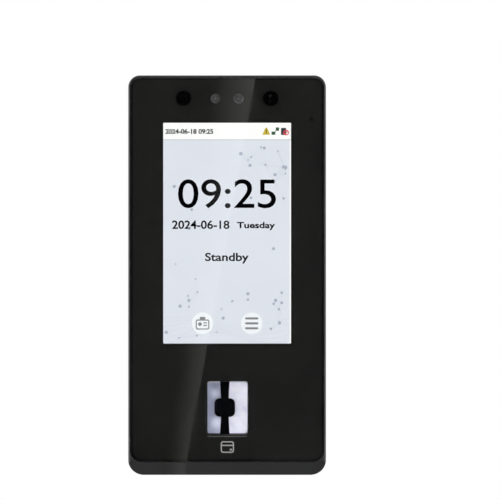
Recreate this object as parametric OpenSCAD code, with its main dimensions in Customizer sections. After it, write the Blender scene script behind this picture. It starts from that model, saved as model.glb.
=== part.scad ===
// Wall-mounted fingerprint scanner terminal: a glass-fronted housing with a touch display, two
// cameras and an optical fingerprint sensor, on a steel plate with hooks.
// +Z is up, the wall plane is y = 0 and the front glass faces -Y. Most pieces are drawn as
// front-view outlines between two distances from the wall, so a distance d lies at y = -d.

/* [Body] */
// Overall width
body_w = 84; // [82:1:92]
// Overall height
body_h = 170; // [168:1:186]
// Depth from the wall to the face of the glass
body_d = 22; // [21.6:0.2:26]
// Radius of the two upper corners
corner_top = 5; // [4:0.5:7]
// Radius of the two lower corners
corner_bottom = 6.5; // [5.5:0.5:8]
// Thickness of the housing walls
wall = 2; // [1.8:0.1:2.4]
// Thickness of the underside wall
base_wall = 3; // [2.6:0.1:3.4]
// Depth of the front frame, from the face of the glass to the joint line
rim_depth = 5.2; // [4.9:0.1:5.6]
// Bevel round the front edge of the frame
rim_bevel = 0.5; // [0.3:0.1:0.6]
// Bevel round the rear edge of the cover
rear_bevel = 1.6; // [0.8:0.1:2]
// Gap between the cover and the wall
wall_gap = 0.4; // [0.3:0.1:1]

/* [Cover glass] */
// Thickness of the cover glass
glass_t = 1.1; // [0.8:0.1:1.4]
// Width of frame that shows round the glass
glass_inset = 0.7; // [0.7:0.1:1.2]
// Gap between the edge of the glass and its seat
glass_fit = 0.05; // [0.03:0.01:0.1]
// Radius of the two lower corners of the glass
glass_corner = 5; // [4:0.5:6.5]
// Bevel on the front edge of the glass
glass_bevel = 0.6; // [0.3:0.1:0.7]
// Step from the frame up to the face of the glass
glass_proud = 0.2; // [0.1:0.1:0.4]
// Height of the chin under the glass
chin_h = 5.6; // [5:0.1:7]
// How far the chin falls back at the underside
chin_fall = 4.6; // [3:0.1:4.8]
// Thickness of the black mask behind the glass
mask_t = 0.2; // [0.1:0.05:0.3]
// Thickness of the adhesive frame
tape_t = 0.2; // [0.1:0.05:0.3]
// Thickness of the frame's front web
web_t = 1.2; // [1:0.1:1.5]

/* [Display] */
// Distance from the side edge of the body in to the picture
screen_side = 14.6; // [13.8:0.1:17]
// Distance from the top edge of the body down to the picture
screen_drop = 19.9; // [19.6:0.1:22]
// Distance from the underside up to the picture
screen_rise = 55.8; // [55:0.1:62]
// Border of the display panel round the picture
panel_border = 2.2; // [1.6:0.1:2.4]
// Extra border at the foot of the panel, which holds its driver
panel_foot = 2; // [1:0.1:3]
// Thickness of the touch sensor
touch_t = 0.7; // [0.5:0.1:0.9]
// Thickness of the display panel
panel_t = 1.3; // [1:0.1:1.5]
// Thickness of the backlight tray
backlight_t = 1.5; // [1.2:0.1:1.8]

/* [Cameras and lights] */
// Distance from the top edge down to the cameras
camera_drop = 9.8; // [9.4:0.1:10.2]
// Distance between the two cameras
camera_gap = 37.1; // [34:0.1:42]
// Diameter of each camera window
camera_window = 6.8; // [6:0.1:7.4]
// Diameter of each lens barrel
barrel_d = 6.4; // [5:0.1:6.6]
// Distance between the two infrared lights
led_gap = 9.8; // [9:0.1:12]
// Diameter of each light window
led_window = 4.2; // [3.6:0.1:4.6]
// Diameter of each infrared light
led_d = 3; // [2.4:0.1:3.4]

/* [Microphone] */
// Distance from the side edge in to the microphone
mic_inset = 6.1; // [5.8:0.1:6.8]
// Distance from the top edge down to the microphone
mic_drop = 18.6; // [17:0.1:20]
// Diameter of the hole in the glass
mic_hole = 0.9; // [0.6:0.1:1.2]
// Diameter of the capsule
mic_d = 4; // [3:0.1:4.2]

/* [Fingerprint sensor] */
// Height of the window's centre above the underside
finger_rise = 28.7; // [28:0.1:30]
// Width of the window
finger_w = 17.8; // [16:0.1:20]
// Height of the window
finger_h = 22.5; // [20:0.1:24]
// Radius of the window's corners
finger_corner = 1.2; // [0.8:0.1:2]
// Gap round the window in the glass
finger_fit = 0.1; // [0.05:0.01:0.2]
// Height of the gap under the window in the glass
finger_gap = 1.1; // [0.8:0.1:1.4]
// Thickness of the window
finger_t = 1.6; // [1.2:0.1:2]
// Width of the dark aperture
aperture_w = 8.7; // [7:0.1:10]
// Height of the dark aperture
aperture_h = 7.9; // [6:0.1:9]
// How far the aperture sits to the left of the window's centre
aperture_shift = 1; // [0:0.1:1.5]
// Width of the dark spine between the two reflectors, at its ends
spine_w = 3.6; // [3:0.1:4]
// Width of the spine beside the aperture
spine_neck = 2.7; // [2:0.1:3]
// Thickness of the sensor housing's walls
sensor_wall = 1.6; // [1.2:0.1:2]

/* [Card reader] */
// Width of the card antenna
antenna_w = 48; // [40:1:50]
// Height of the card antenna
antenna_h = 35; // [32:1:36]
// Thickness of the antenna board
antenna_t = 0.6; // [0.4:0.1:0.8]

/* [Boards] */
// Thickness of the main board
board_t = 1.6; // [1.2:0.1:1.8]
// Gap between the backlight and the main board
board_gap = 1; // [0.8:0.1:1.2]
// Gap between the main board's edges and the housing
board_margin = 3.5; // [3:0.1:4.5]
// Distance from the top edge down to the main board
board_drop = 17.5; // [16:0.1:20]
// Thickness of the small boards
small_board_t = 1; // [0.8:0.1:1.2]

/* [Connector bay] */
// Width of the bay
bay_w = 54; // [52:1:56]
// Distance from the top edge of the body down to the bay
bay_drop = 79; // [74:1:84]
// Thickness of the bay's walls
bay_wall = 1.5; // [1.2:0.1:1.8]
// Gap between the network jack and the wall plate
jack_gap = 1.1; // [0.6:0.1:1.6]
// Width of the network jack
jack_w = 16; // [15:0.1:17]
// Length of the network jack
jack_l = 15; // [14:0.1:17]
// Spacing of the screw terminals
terminal_pitch = 3.5; // [3.2:0.1:3.7]
// Height of the terminal blocks above their board
terminal_h = 8.5; // [7:0.1:9.5]
// Number of signal terminals
signal_poles = 6; // [4:1:6]
// Number of power terminals
power_poles = 2; // [1:1:2]

/* [Wall plate] */
// Distance from the side edge of the body in to the plate
plate_side = 10; // [9.6:0.1:12]
// Distance from the ends of the body in to the plate
plate_end = 19; // [18:0.5:22]
// Thickness of the plate
plate_t = 1.5; // [1.2:0.1:1.8]
// Distance from the side edge of the plate in to the wall screws
wall_screw_side = 7; // [6:0.5:10]
// Distance from the ends of the plate in to the wall screws
wall_screw_end = 6; // [5.5:0.5:9]
// Diameter of the wall screw holes
wall_hole = 4.5; // [4:0.1:5]
// Distance between the screws of a single-gang wall box
gang_gap = 83.3; // [80:0.1:84]
// Height of the lower wall box screw above the plate's lower edge
gang_rise = 7.35; // [6.5:0.05:9]
// Height of the cable window
window_h = 44; // [38:1:48]
// Distance from the sides of the connector bay in to the cable window
window_side = 5; // [4:0.5:8]
// Width of each hook
hook_w = 8; // [6:0.5:9]
// Height of each hook's lip
hook_lip = 4; // [3:0.1:4.5]
// Distance from the top of the plate down to the upper hooks
hook_drop = 26; // [22:1:32]
// Height of the lower hooks above the plate's lower edge
hook_rise = 18; // [16:0.5:19]
// How far the terminal lifts to clear the hooks
lift = 5; // [5:0.1:5.6]

/* [Fasteners] */
// Diameter of the lock screw
lock_d = 3; // [2.5:0.1:3.5]
// Gap between a screw and its hole
screw_fit = 0.1; // [0.05:0.01:0.15]
// Diameter of the case screws
case_screw_d = 2.5; // [2:0.1:3]
// Length of the case screws under the head
case_screw_l = 11; // [9:0.5:12]
// Diameter of the board screws
board_screw_d = 2; // [1.6:0.1:2.2]

/* [Underside] */
// Distance from the side edge in to the centre of the USB port
usb_inset = 16; // [15.6:0.1:17]
// Width of the USB shell
usb_w = 13.1; // [12.5:0.1:13.5]
// Height of the USB shell
usb_h = 5.7; // [5:0.1:6]
// Length of the USB shell
usb_l = 14; // [13:0.1:15]
// Thickness of the USB door
door_t = 1.2; // [1:0.1:1.4]
// Radius of the door's hinge barrel
barrel_r = 0.9; // [0.8:0.05:1]
// Radius of the door's hinge pins
pin_r = 0.5; // [0.4:0.05:0.6]
// Running clearance of the hinge pins
pin_fit = 0.06; // [0.03:0.01:0.1]
// Diameter of the reset pinhole
pinhole_d = 1.6; // [1.2:0.1:2]
// Number of sound holes along the grille
grille_holes = 8; // [4:1:8]
// Diameter of each sound hole
grille_d = 1.5; // [1:0.1:1.6]

/* [Tamper switch] */
// Distance of the tamper switch to the right of the centre
tamper_x = 14; // [12:1:16]
// Height of the tamper switch above the connector bay
tamper_rise = 18; // [14:1:22]
// Diameter of the plunger
plunger_d = 3.5; // [3:0.1:4]
// Travel of the plunger
plunger_travel = 1.5; // [1:0.1:2]

/* [Hidden] */
$fn = 48;
cut = 0.5;

// Edges of the body
side = body_w / 2;
top = body_h / 2;
base = -body_h / 2;

// Distances from the wall of the layers, from the glass back to the main board
glass_back = body_d - glass_t;
mask_back = glass_back - mask_t;
web_front = mask_back - tape_t;
web_back = web_front - web_t;
frame_front = body_d - glass_proud;
touch_back = mask_back - touch_t;
panel_back = touch_back - panel_t;
light_back = panel_back - backlight_t;
board_front = light_back - board_gap;
board_back = board_front - board_t;
parting = body_d - rim_depth;

// Glass outline
glass_half = side - glass_inset;
glass_top = top - glass_inset;
glass_base = base + chin_h;
glass_top_r = corner_top - glass_inset;
mask_inset = 0.2;
tape_inset = 0.3;

// Display outlines
screen_w = body_w - 2 * screen_side;
screen_top = top - screen_drop;
screen_base = base + screen_rise;
screen_h = screen_top - screen_base;
panel_half = screen_w / 2 + panel_border;
panel_top = screen_top + panel_border;
panel_base = screen_base - panel_border - panel_foot;
tray_wall = 0.5;
tray_half = panel_half + tray_wall;
opening_half = panel_half + 1.2;
opening_top = panel_top + 1.2;
opening_base = panel_base - 2.6;
tray_notch_side = 4;
tray_notch_h = 2.5;
tray_notch_t = 0.3;

// Cameras, lights and microphone
camera_z = top - camera_drop;
camera_x = camera_gap / 2;
led_x = led_gap / 2;
camera_board_back = board_front - 2;
camera_board_front = camera_board_back + small_board_t;
camera_board_half = camera_x + 5.5;
camera_board_rise = 5.4;
camera_boss_x = (led_x + camera_x) / 2;
camera_holder = 4;
camera_holder_h = 2.4;
barrel_r_camera = barrel_d / 2;
barrel_front = mask_back - 0.2;
lens_rim = 0.9;
lens_depth = 1.4;
iris_r = 1.6;
iris_depth = 2.2;
gasket_wall = 0.8;
gasket_t = 1;
gasket_fit = 0.05;
camera_hole_r = barrel_r_camera + gasket_wall + 0.3;
camera_flex_w = 12;
led_sunk = 1.2;
light_hole_w = led_gap + led_d + 3.4;
light_hole_h = led_d + 3.4;
light_hole_corner = 1.5;
baffle_gap = 0.3;
baffle_bore = led_d / 2 + 0.4;
mic_x = side - mic_inset;
mic_z = top - mic_drop;
boot_wall = 0.6;
boot_r = mic_d / 2 + boot_wall;
boot_depth = 3.2;
boot_back = mask_back - boot_depth;
boot_lip = 0.8;
boot_gap = 0.1;
mic_front = mask_back - 1;
mic_fit = 0.02;

// Wall plate and hooks
plate_w = body_w - 2 * plate_side;
plate_h = body_h - 2 * plate_end;
plate_half = plate_w / 2;
plate_base = -plate_h / 2;
plate_corner = 4;
wall_screw_x = plate_w - 2 * wall_screw_side;
wall_screw_z = plate_h - 2 * wall_screw_end;
recess_gap = 1;
recess_half = plate_half + recess_gap;
recess_top = plate_h / 2 + recess_gap;
recess_base = plate_base - lift - 1.5;
recess_floor = plate_t + 2.5;
floor_t = 1.8;
floor_front = recess_floor + floor_t;
hook_x = plate_half - hook_w / 2 - 1;
hook_gap = 0.2;
hook_upper = plate_h / 2 - hook_drop;
hook_lower = plate_base + hook_rise;
hook_back = floor_front + hook_gap;
hook_front = hook_back + plate_t;
slot_gap = 0.4;
tamper_slot_r = plunger_d / 2 + 0.8;

// Lock screw and the tab that takes it
tab_half = 6;
tab_front = 8;
lock_depth = 5;
lock_r = lock_d / 2;
lock_pocket_half = tab_half + 2;
lock_pocket_front = tab_front + 1;
lock_pocket_top = plate_base + plate_t + 2.5;
lock_head_r = lock_r + 1.3;
lock_head_h = 1.9;
lock_head_sunk = 0.6;
lock_hex_r = 1.15;
lock_hex_depth = 1.1;
head_gap = 0.3;
lock_tip = plate_base + plate_t + 1;

// Fingerprint sensor
finger_z = base + finger_rise;
sensor_half_w = finger_w / 2 + sensor_wall;
sensor_half_h = finger_h / 2 + sensor_wall;
sensor_back = lock_pocket_front + bay_wall + 1;
window_front = body_d - 0.1;
window_back = window_front - finger_t;
window_fit = 0.05;
finger_seal_t = 0.3;
finger_seal_inset = 0.2;
finger_seal_gap = 0.15;
housing_front = mask_back - finger_seal_t;
housing_ledge = 2;
funnel_depth = 3.6;
funnel_back = window_back - funnel_depth;
funnel_rim = 0.4;
funnel_cut = 0.1;
aperture_t = 1.2;
aperture_lip = 0.25;
aperture_gap = 0.1;
aperture_step = 0.4;
aperture_cap = 0.25;
aperture_corner = 2.2;
spine_gap = 0.1;
gap_inset = 0.6;
board_fit = 0.1;
sensor_chip_half = 3;
sensor_chip_t = 0.6;
sensor_flex_w = 8;
sensor_top = finger_z + sensor_half_h;
sensor_base = finger_z - sensor_half_h;
sensor_web_gap = 0.4;

// Card antenna
antenna_front = web_back;
antenna_back = antenna_front - antenna_t;
antenna_corner = 2;
ferrite_t = 0.3;
ferrite_inset = 1;
antenna_window = 1;

// Main board
board_half = side - wall - board_margin;
board_corner = 2;
board_top = top - board_drop;
board_base = sensor_top + 0.7;
board_screw_x = board_half - 2.3;
board_screw_top = board_top - 9;
board_screw_base = board_base + 4.5;
screw_head_h = 1.4;
screw_head_r = board_screw_d / 2 + 0.9;
cross_half = 1.3;
cross_half_w = 0.25;
cross_depth = 0.6;
boss_r = 2.2;
pilot_gap = 0.3;

// Connector bay, behind the main board and open towards the wall
bay_base = sensor_top + 3.2;
bay_top = top - bay_drop;
bay_half = bay_w / 2;
window_half = bay_half - window_side;
bay_floor_front = board_back - 1.2;
bay_floor_back = bay_floor_front - bay_wall;
connector_fit = 0.3;
jack_x = -bay_half + 2.5 + jack_w / 2;
jack_top = bay_top - 0.5;
jack_base = jack_top - jack_l;
jack_back = plate_t + jack_gap;
jack_bore_w = 11.8;
jack_bore_h = 7.2;
jack_bore_l = 12.4;
jack_roof = 1.9;
latch_w = 6.2;
latch_h = 1.2;
latch_stop = 2;
contacts = 8;
contact_w = 0.5;
contact_t = 0.5;
contact_lift = 0.4;
contact_start = 3;
contact_pitch = 1.02;
terminal_back = board_back - terminal_h;
terminal_l = 8;
terminal_top = bay_top - 0.5;
terminal_base = terminal_top - terminal_l;
signal_w = signal_poles * terminal_pitch + 0.6;
power_w = power_poles * terminal_pitch + 0.6;
signal_x = bay_half - 1.2 - signal_w / 2;
power_x = signal_x - signal_w / 2 - 0.8 - power_w / 2;
wire_wall = 0.5;
wire_depth = 6;
wire_near = 4;
wire_far = 6.4;
clamp_z = terminal_base + 3.6;
clamp_r = 1.2;
clamp_fit = 0.1;
clamp_sunk = 0.6;
clamp_tip = 3.8;
clamp_bore = 4.2;
clamp_slot_half = 0.25;
clamp_slot_depth = 0.7;

// What the main board carries besides the connectors, placed from the top of the bay
shield_half_h = 13;
shield_t = 0.3;
shield_h = 2.2;
shield_z = board_top - 19;
relay_w = 15.4;
relay_l = 10;
relay_gap = 0.6;
relay_x = -board_half + 16.5;
relay_z = bay_top + 13;
capacitor_r = 3.15;
capacitor_gap = 1.1;
capacitor_foot = 0.6;
capacitor_rim = 0.25;
capacitor_x = board_half - 8.5;
capacitor_heights = [bay_top + 7, bay_top + 15];
cell_r = 6.25;
cell_t = 2;
cell_x = -board_screw_x + 12;
cell_z = shield_z + 4;
cell_front = board_back - 1;
holder_wall = 1;
holder_lip = 0.2;
holder_fit = 0.1;
shield_half_w = -cell_x - cell_r - holder_wall - 0.9;
// Chips as [x, z, half width, half height, thickness]: the first four are under the shield
rear_chips = [
    [-0.36 * shield_half_w, shield_z + 3, shield_half_w / 2.2, 6.5, 1.2],
    [0.58 * shield_half_w, shield_z + 6, shield_half_w / 3.5, 5, 1],
    [0.58 * shield_half_w, shield_z - 6, shield_half_w / 3.5, 5, 1],
    [-0.42 * shield_half_w, shield_z - 8.5, shield_half_w / 4, 2.5, 1],
    [board_half - 10.5, shield_z - 2, 3.5, 3.5, 1],
    [board_half - 10.5, shield_z + 4, 2.5, 2, 1], [-2, bay_top + 8, 2.5, 3.5, 1.4],
    [-5, bay_top + 24, 3, 2.5, 1.2]
];
// Ribbon connectors on the front of the board as [x, half width], under the display
front_connectors = [[-6, 9], [15, 5]];
flex_base = panel_base - tray_wall - 4.6;
flex_t = 0.15;
flex_tail = 0.3;
flex_bend_low = 2.2;
flex_bend_high = 3.8;
plug_t = 0.6;
plug_margin = 1;
plug_below = 1.4;
plug_above = 0.9;

// Case screws
case_screw_x = side - 5.5;
case_screw_z = top - 6.5;
case_boss_r = 3;
case_head_r = 2.1;
case_head_h = 1.6;
case_hex_r = 1;
case_hex_depth = 0.7;
case_seat = parting - 8.6;
reveal = 0.3;
seal_w = 0.8;
seal_t = 0.8;
seal_fit = 0.05;

// Underside pieces
chamber_base = base + base_wall;
usb_x = -side + usb_inset;
lower_front = board_back + small_board_t;
lower_back = board_back;
usb_front = lower_back;
usb_back = usb_front - usb_h;
usb_mouth = base + 1.7;
usb_shell_t = 0.3;
usb_fit = 0.2;
usb_rear = 1.5;
tongue_side = 1;
tongue_sunk = 1;
tongue_near = 0.4;
tongue_far = 2.2;
lower_board_left = usb_x - usb_w / 2 - 0.2;
lower_board_right = -lock_pocket_half - bay_wall - 0.5;
lower_board_base = chamber_base + 0.5;
lower_board_step = sensor_base - 0.5;
lower_board_top = usb_mouth + usb_l + 5;
lower_flex_w = 8;
lower_flex_x = -sensor_half_w - 7;
reset_body = 3.6;
reset_body_h = 2.4;
reset_x = lower_board_right - reset_body / 2 - 0.1;
reset_mid = lower_back - reset_body / 2;
reset_base = chamber_base + 0.5;
reset_body_base = reset_base + 0.7;
reset_stem_top = reset_body_base + 0.8;
reset_r = 0.9;
reset_travel = 0.3;
reset_fit = 0.06;
reset_gap = 0.1;
lower_screws = [
    [lower_board_left + 3.4, lower_board_top - 3],
    [lower_board_right - screw_head_r - 0.6, finger_z - antenna_h / 2 - boss_r - 0.3]
];
door_half = usb_w / 2 + 1.4;
door_gap = 0.25;
door_recess = door_t + 0.3;
hinge_depth = usb_back - 2.2;
hinge_z = base + barrel_r;
door_front = usb_front + 1.1;
pin_l = 1;
pin_gap = 0.2;
notch_r = 2;
notch_out = 0.6;
speaker_left = lock_pocket_half + bay_wall + 1;
speaker_w = case_screw_x - case_boss_r - 1 - speaker_left;
speaker_h = parting - floor_front - 2;
speaker_l = 4.6;
speaker_x = speaker_left + speaker_w / 2;
speaker_mid = (floor_front + parting) / 2;
speaker_corner = 2;
grille_pitch = speaker_w / (grille_holes + 1);
grille_row = 1.6;
speaker_gasket_t = 0.8;
speaker_gasket_w = 1.2;

// Tamper switch
tamper_z = bay_top + tamper_rise;
plunger_r = plunger_d / 2;
plunger_fit = 0.08;
plunger_tip = 0.05;
plunger_hole_gap = 0.35;
switch_r = plunger_r + 2.3;
switch_back = floor_front + 0.8;
switch_wall = 1.2;
flange_r = plunger_r + 0.8;
flange_t = 1;
flange_back = switch_back + switch_wall + 0.05;
flange_front = flange_back + flange_t;
flange_fit = 0.1;
spring_seat = board_back - 1;
stem_gap = 1.6;
plunger_stem = spring_seat - flange_front - plunger_travel - stem_gap;
spring_gap = 0.2;
spring_wall = 0.4;

function about(middle, half) = [middle - half, middle + half];

// Front-view outline pushed out between two distances from the wall
module slab(near, far) {
    translate([0, -near, 0]) rotate([90, 0, 0]) linear_extrude(far - near) children();
}

// Box between pairs of sides, heights and distances from the wall
module block(x, z, d) {
    translate([x[0], -d[1], z[0]]) cube([x[1] - x[0], d[1] - d[0], z[1] - z[0]]);
}

// Round bar that stands out from the wall
module rod(x, z, near, far, r) {
    translate([x, -near, z]) rotate([90, 0, 0]) cylinder(h = far - near, r = r);
}

// Upright round bar
module post(x, d, low, high, r) {
    translate([x, -d, low]) cylinder(h = high - low, r = r);
}

module rounded(w, h, r) {
    square([w - 2 * r, h], center = true);
    square([w, h - 2 * r], center = true);
    for (x = [-1, 1], z = [-1, 1]) translate([x * (w / 2 - r), z * (h / 2 - r)]) circle(r);
}

// Outline with its own upper and lower corner radii, shrunk by an inset
module outline(half, low, high, r_low, r_high, inset = 0) {
    w = half - inset;
    z0 = low + inset;
    z1 = high - inset;
    r0 = r_low - inset;
    r1 = r_high - inset;
    translate([-w, z0 + r0]) square([2 * w, z1 - z0 - r0 - r1]);
    translate([-w + r0, z0]) square([2 * (w - r0), (z1 - z0) / 2]);
    translate([-w + r1, (z0 + z1) / 2]) square([2 * (w - r1), (z1 - z0) / 2]);
    for (x = [-1, 1]) {
        translate([x * (w - r0), z0 + r0]) circle(r0);
        translate([x * (w - r1), z1 - r1]) circle(r1);
    }
}

// Points of a bevelled edge, as [distance from the wall, how far the edge is drawn in]
function edge_points(near, far, near_bevel, far_bevel) = concat(
    [[near, near_bevel]],
    near_bevel > 0 ? [[near + near_bevel, 0]] : [],
    far_bevel > 0 ? [[far - far_bevel, 0]] : [],
    [[far, far_bevel]]
);

// Slab of the same outline with a bevel round its near or far face: an upright bar, a bar along
// each end, and a turned corner in each corner
module bevelled(half, low, high, r_low, r_high, near, far, near_bevel, far_bevel) {
    points = edge_points(near, far, near_bevel, far_bevel);
    left = [for (p = points) [p[1] - half, -p[0]]];
    right = [for (i = [len(points) - 1:-1:0]) [half - points[i][1], -points[i][0]]];
    translate([0, 0, low + r_low]) linear_extrude(high - low - r_low - r_high)
        polygon(concat(left, right));
    for (end = [[low, r_low, 1], [high, r_high, -1]]) {
        r = end[1];
        rim = [for (p = points) [-p[0], end[0] + end[2] * p[1]]];
        inner = end[0] + end[2] * (r + 1);
        translate([r - half, 0, 0]) rotate([90, 0, 90]) linear_extrude(2 * (half - r))
            polygon(concat(rim, [[-far, inner], [-near, inner]]));
        for (x = [-1, 1]) translate([x * (half - r), 0, end[0] + end[2] * r]) rotate([90, 0, 0])
            rotate_extrude()
            polygon(concat([[0, near]], [for (p = points) [r - p[1], p[0]]], [[0, far]]));
    }
}

module body_outline(inset = 0) {
    outline(side, base, top, corner_bottom, corner_top, inset);
}

module glass_outline(inset = 0) {
    outline(glass_half, glass_base, glass_top, glass_corner, glass_top_r, inset);
}

module finger_outline(grow = 0) {
    translate([0, finger_z]) rounded(finger_w + 2 * grow, finger_h + 2 * grow, finger_corner + grow);
}

// Wall plate: pressed steel, with four hooks and a tab for the lock screw
module plate_hook(x, z) {
    block(about(x, hook_w / 2), [z - plate_t, z], [plate_t / 2, hook_front]);
    block(about(x, hook_w / 2), [z - plate_t, z + hook_lip], [hook_back, hook_front]);
}

module wall_plate() {
    color("silver") {
        difference() {
            union() {
                slab(0, plate_t) rounded(plate_w, plate_h, plate_corner);
                block(about(0, tab_half), [plate_base, plate_base + plate_t], [plate_t / 2, tab_front]);
            }
            block(about(0, window_half), [bay_base, bay_base + window_h], [-cut, plate_t + cut]);
            for (x = [-1, 1], z = [-1, 1])
                rod(x * wall_screw_x / 2, z * wall_screw_z / 2, -cut, plate_t + cut, wall_hole / 2);
            for (z = [plate_base + gang_rise, plate_base + gang_rise + gang_gap])
                rod(0, z, -cut, plate_t + cut, wall_hole / 2);
            for (z = [tamper_z, tamper_z + lift])
                rod(tamper_x, z, -cut, plate_t + cut, tamper_slot_r);
            block(about(tamper_x, tamper_slot_r), [tamper_z, tamper_z + lift], [-cut, plate_t + cut]);
            post(0, lock_depth, plate_base - cut, plate_base + plate_t + cut, lock_r + screw_fit / 2);
        }
        for (x = [-1, 1], z = [hook_upper, hook_lower]) plate_hook(x * hook_x, z);
    }
}

// Lock screw: goes up through the underside into the plate's tab
module lock_screw() {
    head_base = base + lock_head_sunk;
    color("dimgray") difference() {
        union() {
            post(0, lock_depth, head_base, head_base + lock_head_h, lock_head_r);
            post(0, lock_depth, head_base + lock_head_h, lock_tip, lock_r);
        }
        translate([0, -lock_depth, head_base - cut])
            cylinder(h = cut + lock_hex_depth, r = lock_hex_r, $fn = 6);
    }
}

// Rear cover: a deep tub with a recess for the wall plate and a bay for the connectors
module rear_cover_shell() {
    bevelled(side, base, top, corner_bottom, corner_top, wall_gap, parting, rear_bevel, 0);
}

module rear_cavity() {
    slab(wall_gap + wall, parting + cut)
        outline(side - wall, chamber_base, top - wall, corner_bottom - wall, corner_top - wall);
}

module lock_chamber(grow, near, far) {
    block(about(0, lock_pocket_half + grow), [recess_base - grow, lock_pocket_top + grow], [near, far]);
}

module rear_cover() {
    color("darkslategray") difference() {
        union() {
            difference() {
                rear_cover_shell();
                rear_cavity();
            }
            block(about(0, recess_half + floor_t), [recess_base - floor_t, recess_top + floor_t],
                [wall_gap + 1, floor_front]);
            block(about(0, bay_half + bay_wall), [bay_base - bay_wall, bay_top + bay_wall],
                [recess_floor, bay_floor_front]);
            lock_chamber(bay_wall, recess_floor, lock_pocket_front + bay_wall);
            block(about(0, lock_pocket_half + bay_wall), [base + base_wall / 2, recess_base],
                [wall_gap + 1, lock_pocket_front + bay_wall]);
            for (x = [-1, 1], z = [-1, 1])
                rod(x * case_screw_x, z * case_screw_z, wall_gap + 1, parting, case_boss_r);
        }
        block(about(0, recess_half), [recess_base, recess_top], [-cut, recess_floor]);
        block(about(0, bay_half), [bay_base, bay_top], [0, bay_floor_back]);
        lock_chamber(0, 0, lock_pocket_front);
        for (x = [-1, 1], z = [hook_upper, hook_lower]) hook_slot(x * hook_x, z);
        connector_openings();
        underside_openings();
        rod(tamper_x, tamper_z, recess_floor - cut, floor_front + cut, plunger_r + plunger_hole_gap);
        for (x = [-1, 1], z = [-1, 1]) {
            rod(x * case_screw_x, z * case_screw_z, 0, case_seat, case_head_r + head_gap);
            rod(x * case_screw_x, z * case_screw_z, 0, parting + cut, case_screw_d / 2 + screw_fit);
        }
        slab(parting - seal_t, parting + cut) seal_outline(seal_fit);
    }
}

// The slot lets its hook in when the terminal is raised, and rests on it when lowered
module hook_slot(x, z) {
    block(about(x, hook_w / 2 + slot_gap), [z - plate_t - lift - slot_gap, z],
        [recess_floor - cut, floor_front + cut]);
}

module connector_openings() {
    span = [bay_floor_back - cut, bay_floor_front + cut];
    block(about(jack_x, jack_w / 2 + connector_fit),
        [jack_base - connector_fit, jack_top + connector_fit], span);
    block([power_x - power_w / 2 - connector_fit, signal_x + signal_w / 2 + connector_fit],
        [terminal_base - connector_fit, terminal_top + connector_fit], span);
}

module underside_openings() {
    post(0, lock_depth, base - cut, recess_base + cut, lock_r + head_gap);
    post(0, lock_depth, base - cut, base + lock_head_sunk + lock_head_h, lock_head_r + head_gap);
    block(about(usb_x, usb_w / 2 + usb_fit), [base - cut, chamber_base + cut],
        [usb_back - usb_fit, usb_front + usb_fit]);
    block(about(usb_x, door_half + door_gap), [base - cut, base + door_recess],
        [hinge_depth - barrel_r - door_gap, door_front + door_gap]);
    hinge_bar(door_half + door_gap + pin_l + pin_gap, pin_r + pin_fit);
    hinge_bar(door_half + door_gap, barrel_r + door_gap);
    post(reset_x, reset_mid, base - cut, chamber_base + cut, pinhole_d / 2);
    for (i = [1:grille_holes], row = [-1, 1])
        post(speaker_x - speaker_w / 2 + i * grille_pitch, speaker_mid + row * grille_row,
            base - cut, chamber_base + cut, grille_d / 2);
}

module seal_outline(grow) {
    middle = wall / 2;
    difference() {
        body_outline(middle - seal_w / 2 - grow);
        body_outline(middle + seal_w / 2 + grow);
    }
}

// Front frame: the glass seat, the web that carries the inside, and the sloping chin
module front_frame() {
    color("dimgray") difference() {
        union() {
            difference() {
                union() {
                    slab(parting, parting + 2 * reveal) body_outline(reveal);
                    bevelled(side, base, top, corner_bottom, corner_top, parting + reveal,
                        frame_front, 0, rim_bevel);
                }
                slab(parting - cut, web_back) outline(side - wall, glass_base + wall, top - wall,
                    corner_bottom - wall, corner_top - wall);
                slab(web_front, body_d) glass_outline(-glass_fit);
            }
            for (x = [-1, 1], z = [-1, 1])
                rod(x * case_screw_x, z * case_screw_z, parting, web_back + web_t / 2, case_boss_r);
            frame_bosses(boss_r);
        }
        frame_windows();
        chin_cut();
        for (x = [-1, 1], z = [-1, 1])
            rod(x * case_screw_x, z * case_screw_z, parting - cut, case_seat + case_screw_l + pilot_gap,
                case_screw_d / 2 + screw_fit / 2);
        frame_bosses(board_screw_d / 2 + screw_fit / 2);
    }
}

// The posts that take the board screws, or with a screw's radius their pilot holes
module frame_bosses(r) {
    drilled = r < boss_r;
    reach = drilled ? web_back - pilot_gap : web_back + web_t / 2;
    back_off = drilled ? cut : 0;
    for (x = [-1, 1], z = [board_screw_base, board_screw_top])
        rod(x * board_screw_x, z, board_front - back_off, reach, r);
    for (x = [-1, 1]) rod(x * camera_boss_x, camera_z, camera_board_front - back_off, reach, r);
    for (at = lower_screws) rod(at[0], at[1], lower_front - back_off, reach, r);
}

module frame_windows() {
    block(about(0, opening_half), [opening_base, opening_top], [web_back - cut, web_front + cut]);
    slab(web_back - cut, web_front + cut) finger_opening(sensor_web_gap);
    for (x = [-1, 1])
        rod(x * camera_x, camera_z, web_back - cut, web_front + cut, camera_hole_r);
    slab(web_back - cut, web_front + cut) light_hole(0);
    rod(mic_x, mic_z, web_back - cut, web_front + cut, boot_r + boot_gap);
}

module light_hole(inset) {
    translate([0, camera_z])
        rounded(light_hole_w - 2 * inset, light_hole_h - 2 * inset, light_hole_corner - inset);
}

module finger_opening(grow) {
    translate([0, finger_z])
        square([2 * (sensor_half_w + grow), 2 * (sensor_half_h + grow)], center = true);
}

// Everything in front of the line from the lower edge of the glass back to the underside
module chin_cut() {
    reach = side + 1;
    translate([-reach, 0, 0]) rotate([90, 0, 90]) linear_extrude(2 * reach)
        polygon([
            [-frame_front, glass_base], [-frame_front + chin_fall, base],
            [-frame_front + chin_fall * (1 + 1 / chin_h), base - 1],
            [-frame_front - 1, base - 1], [-frame_front - 1, glass_base]
        ]);
}

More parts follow.
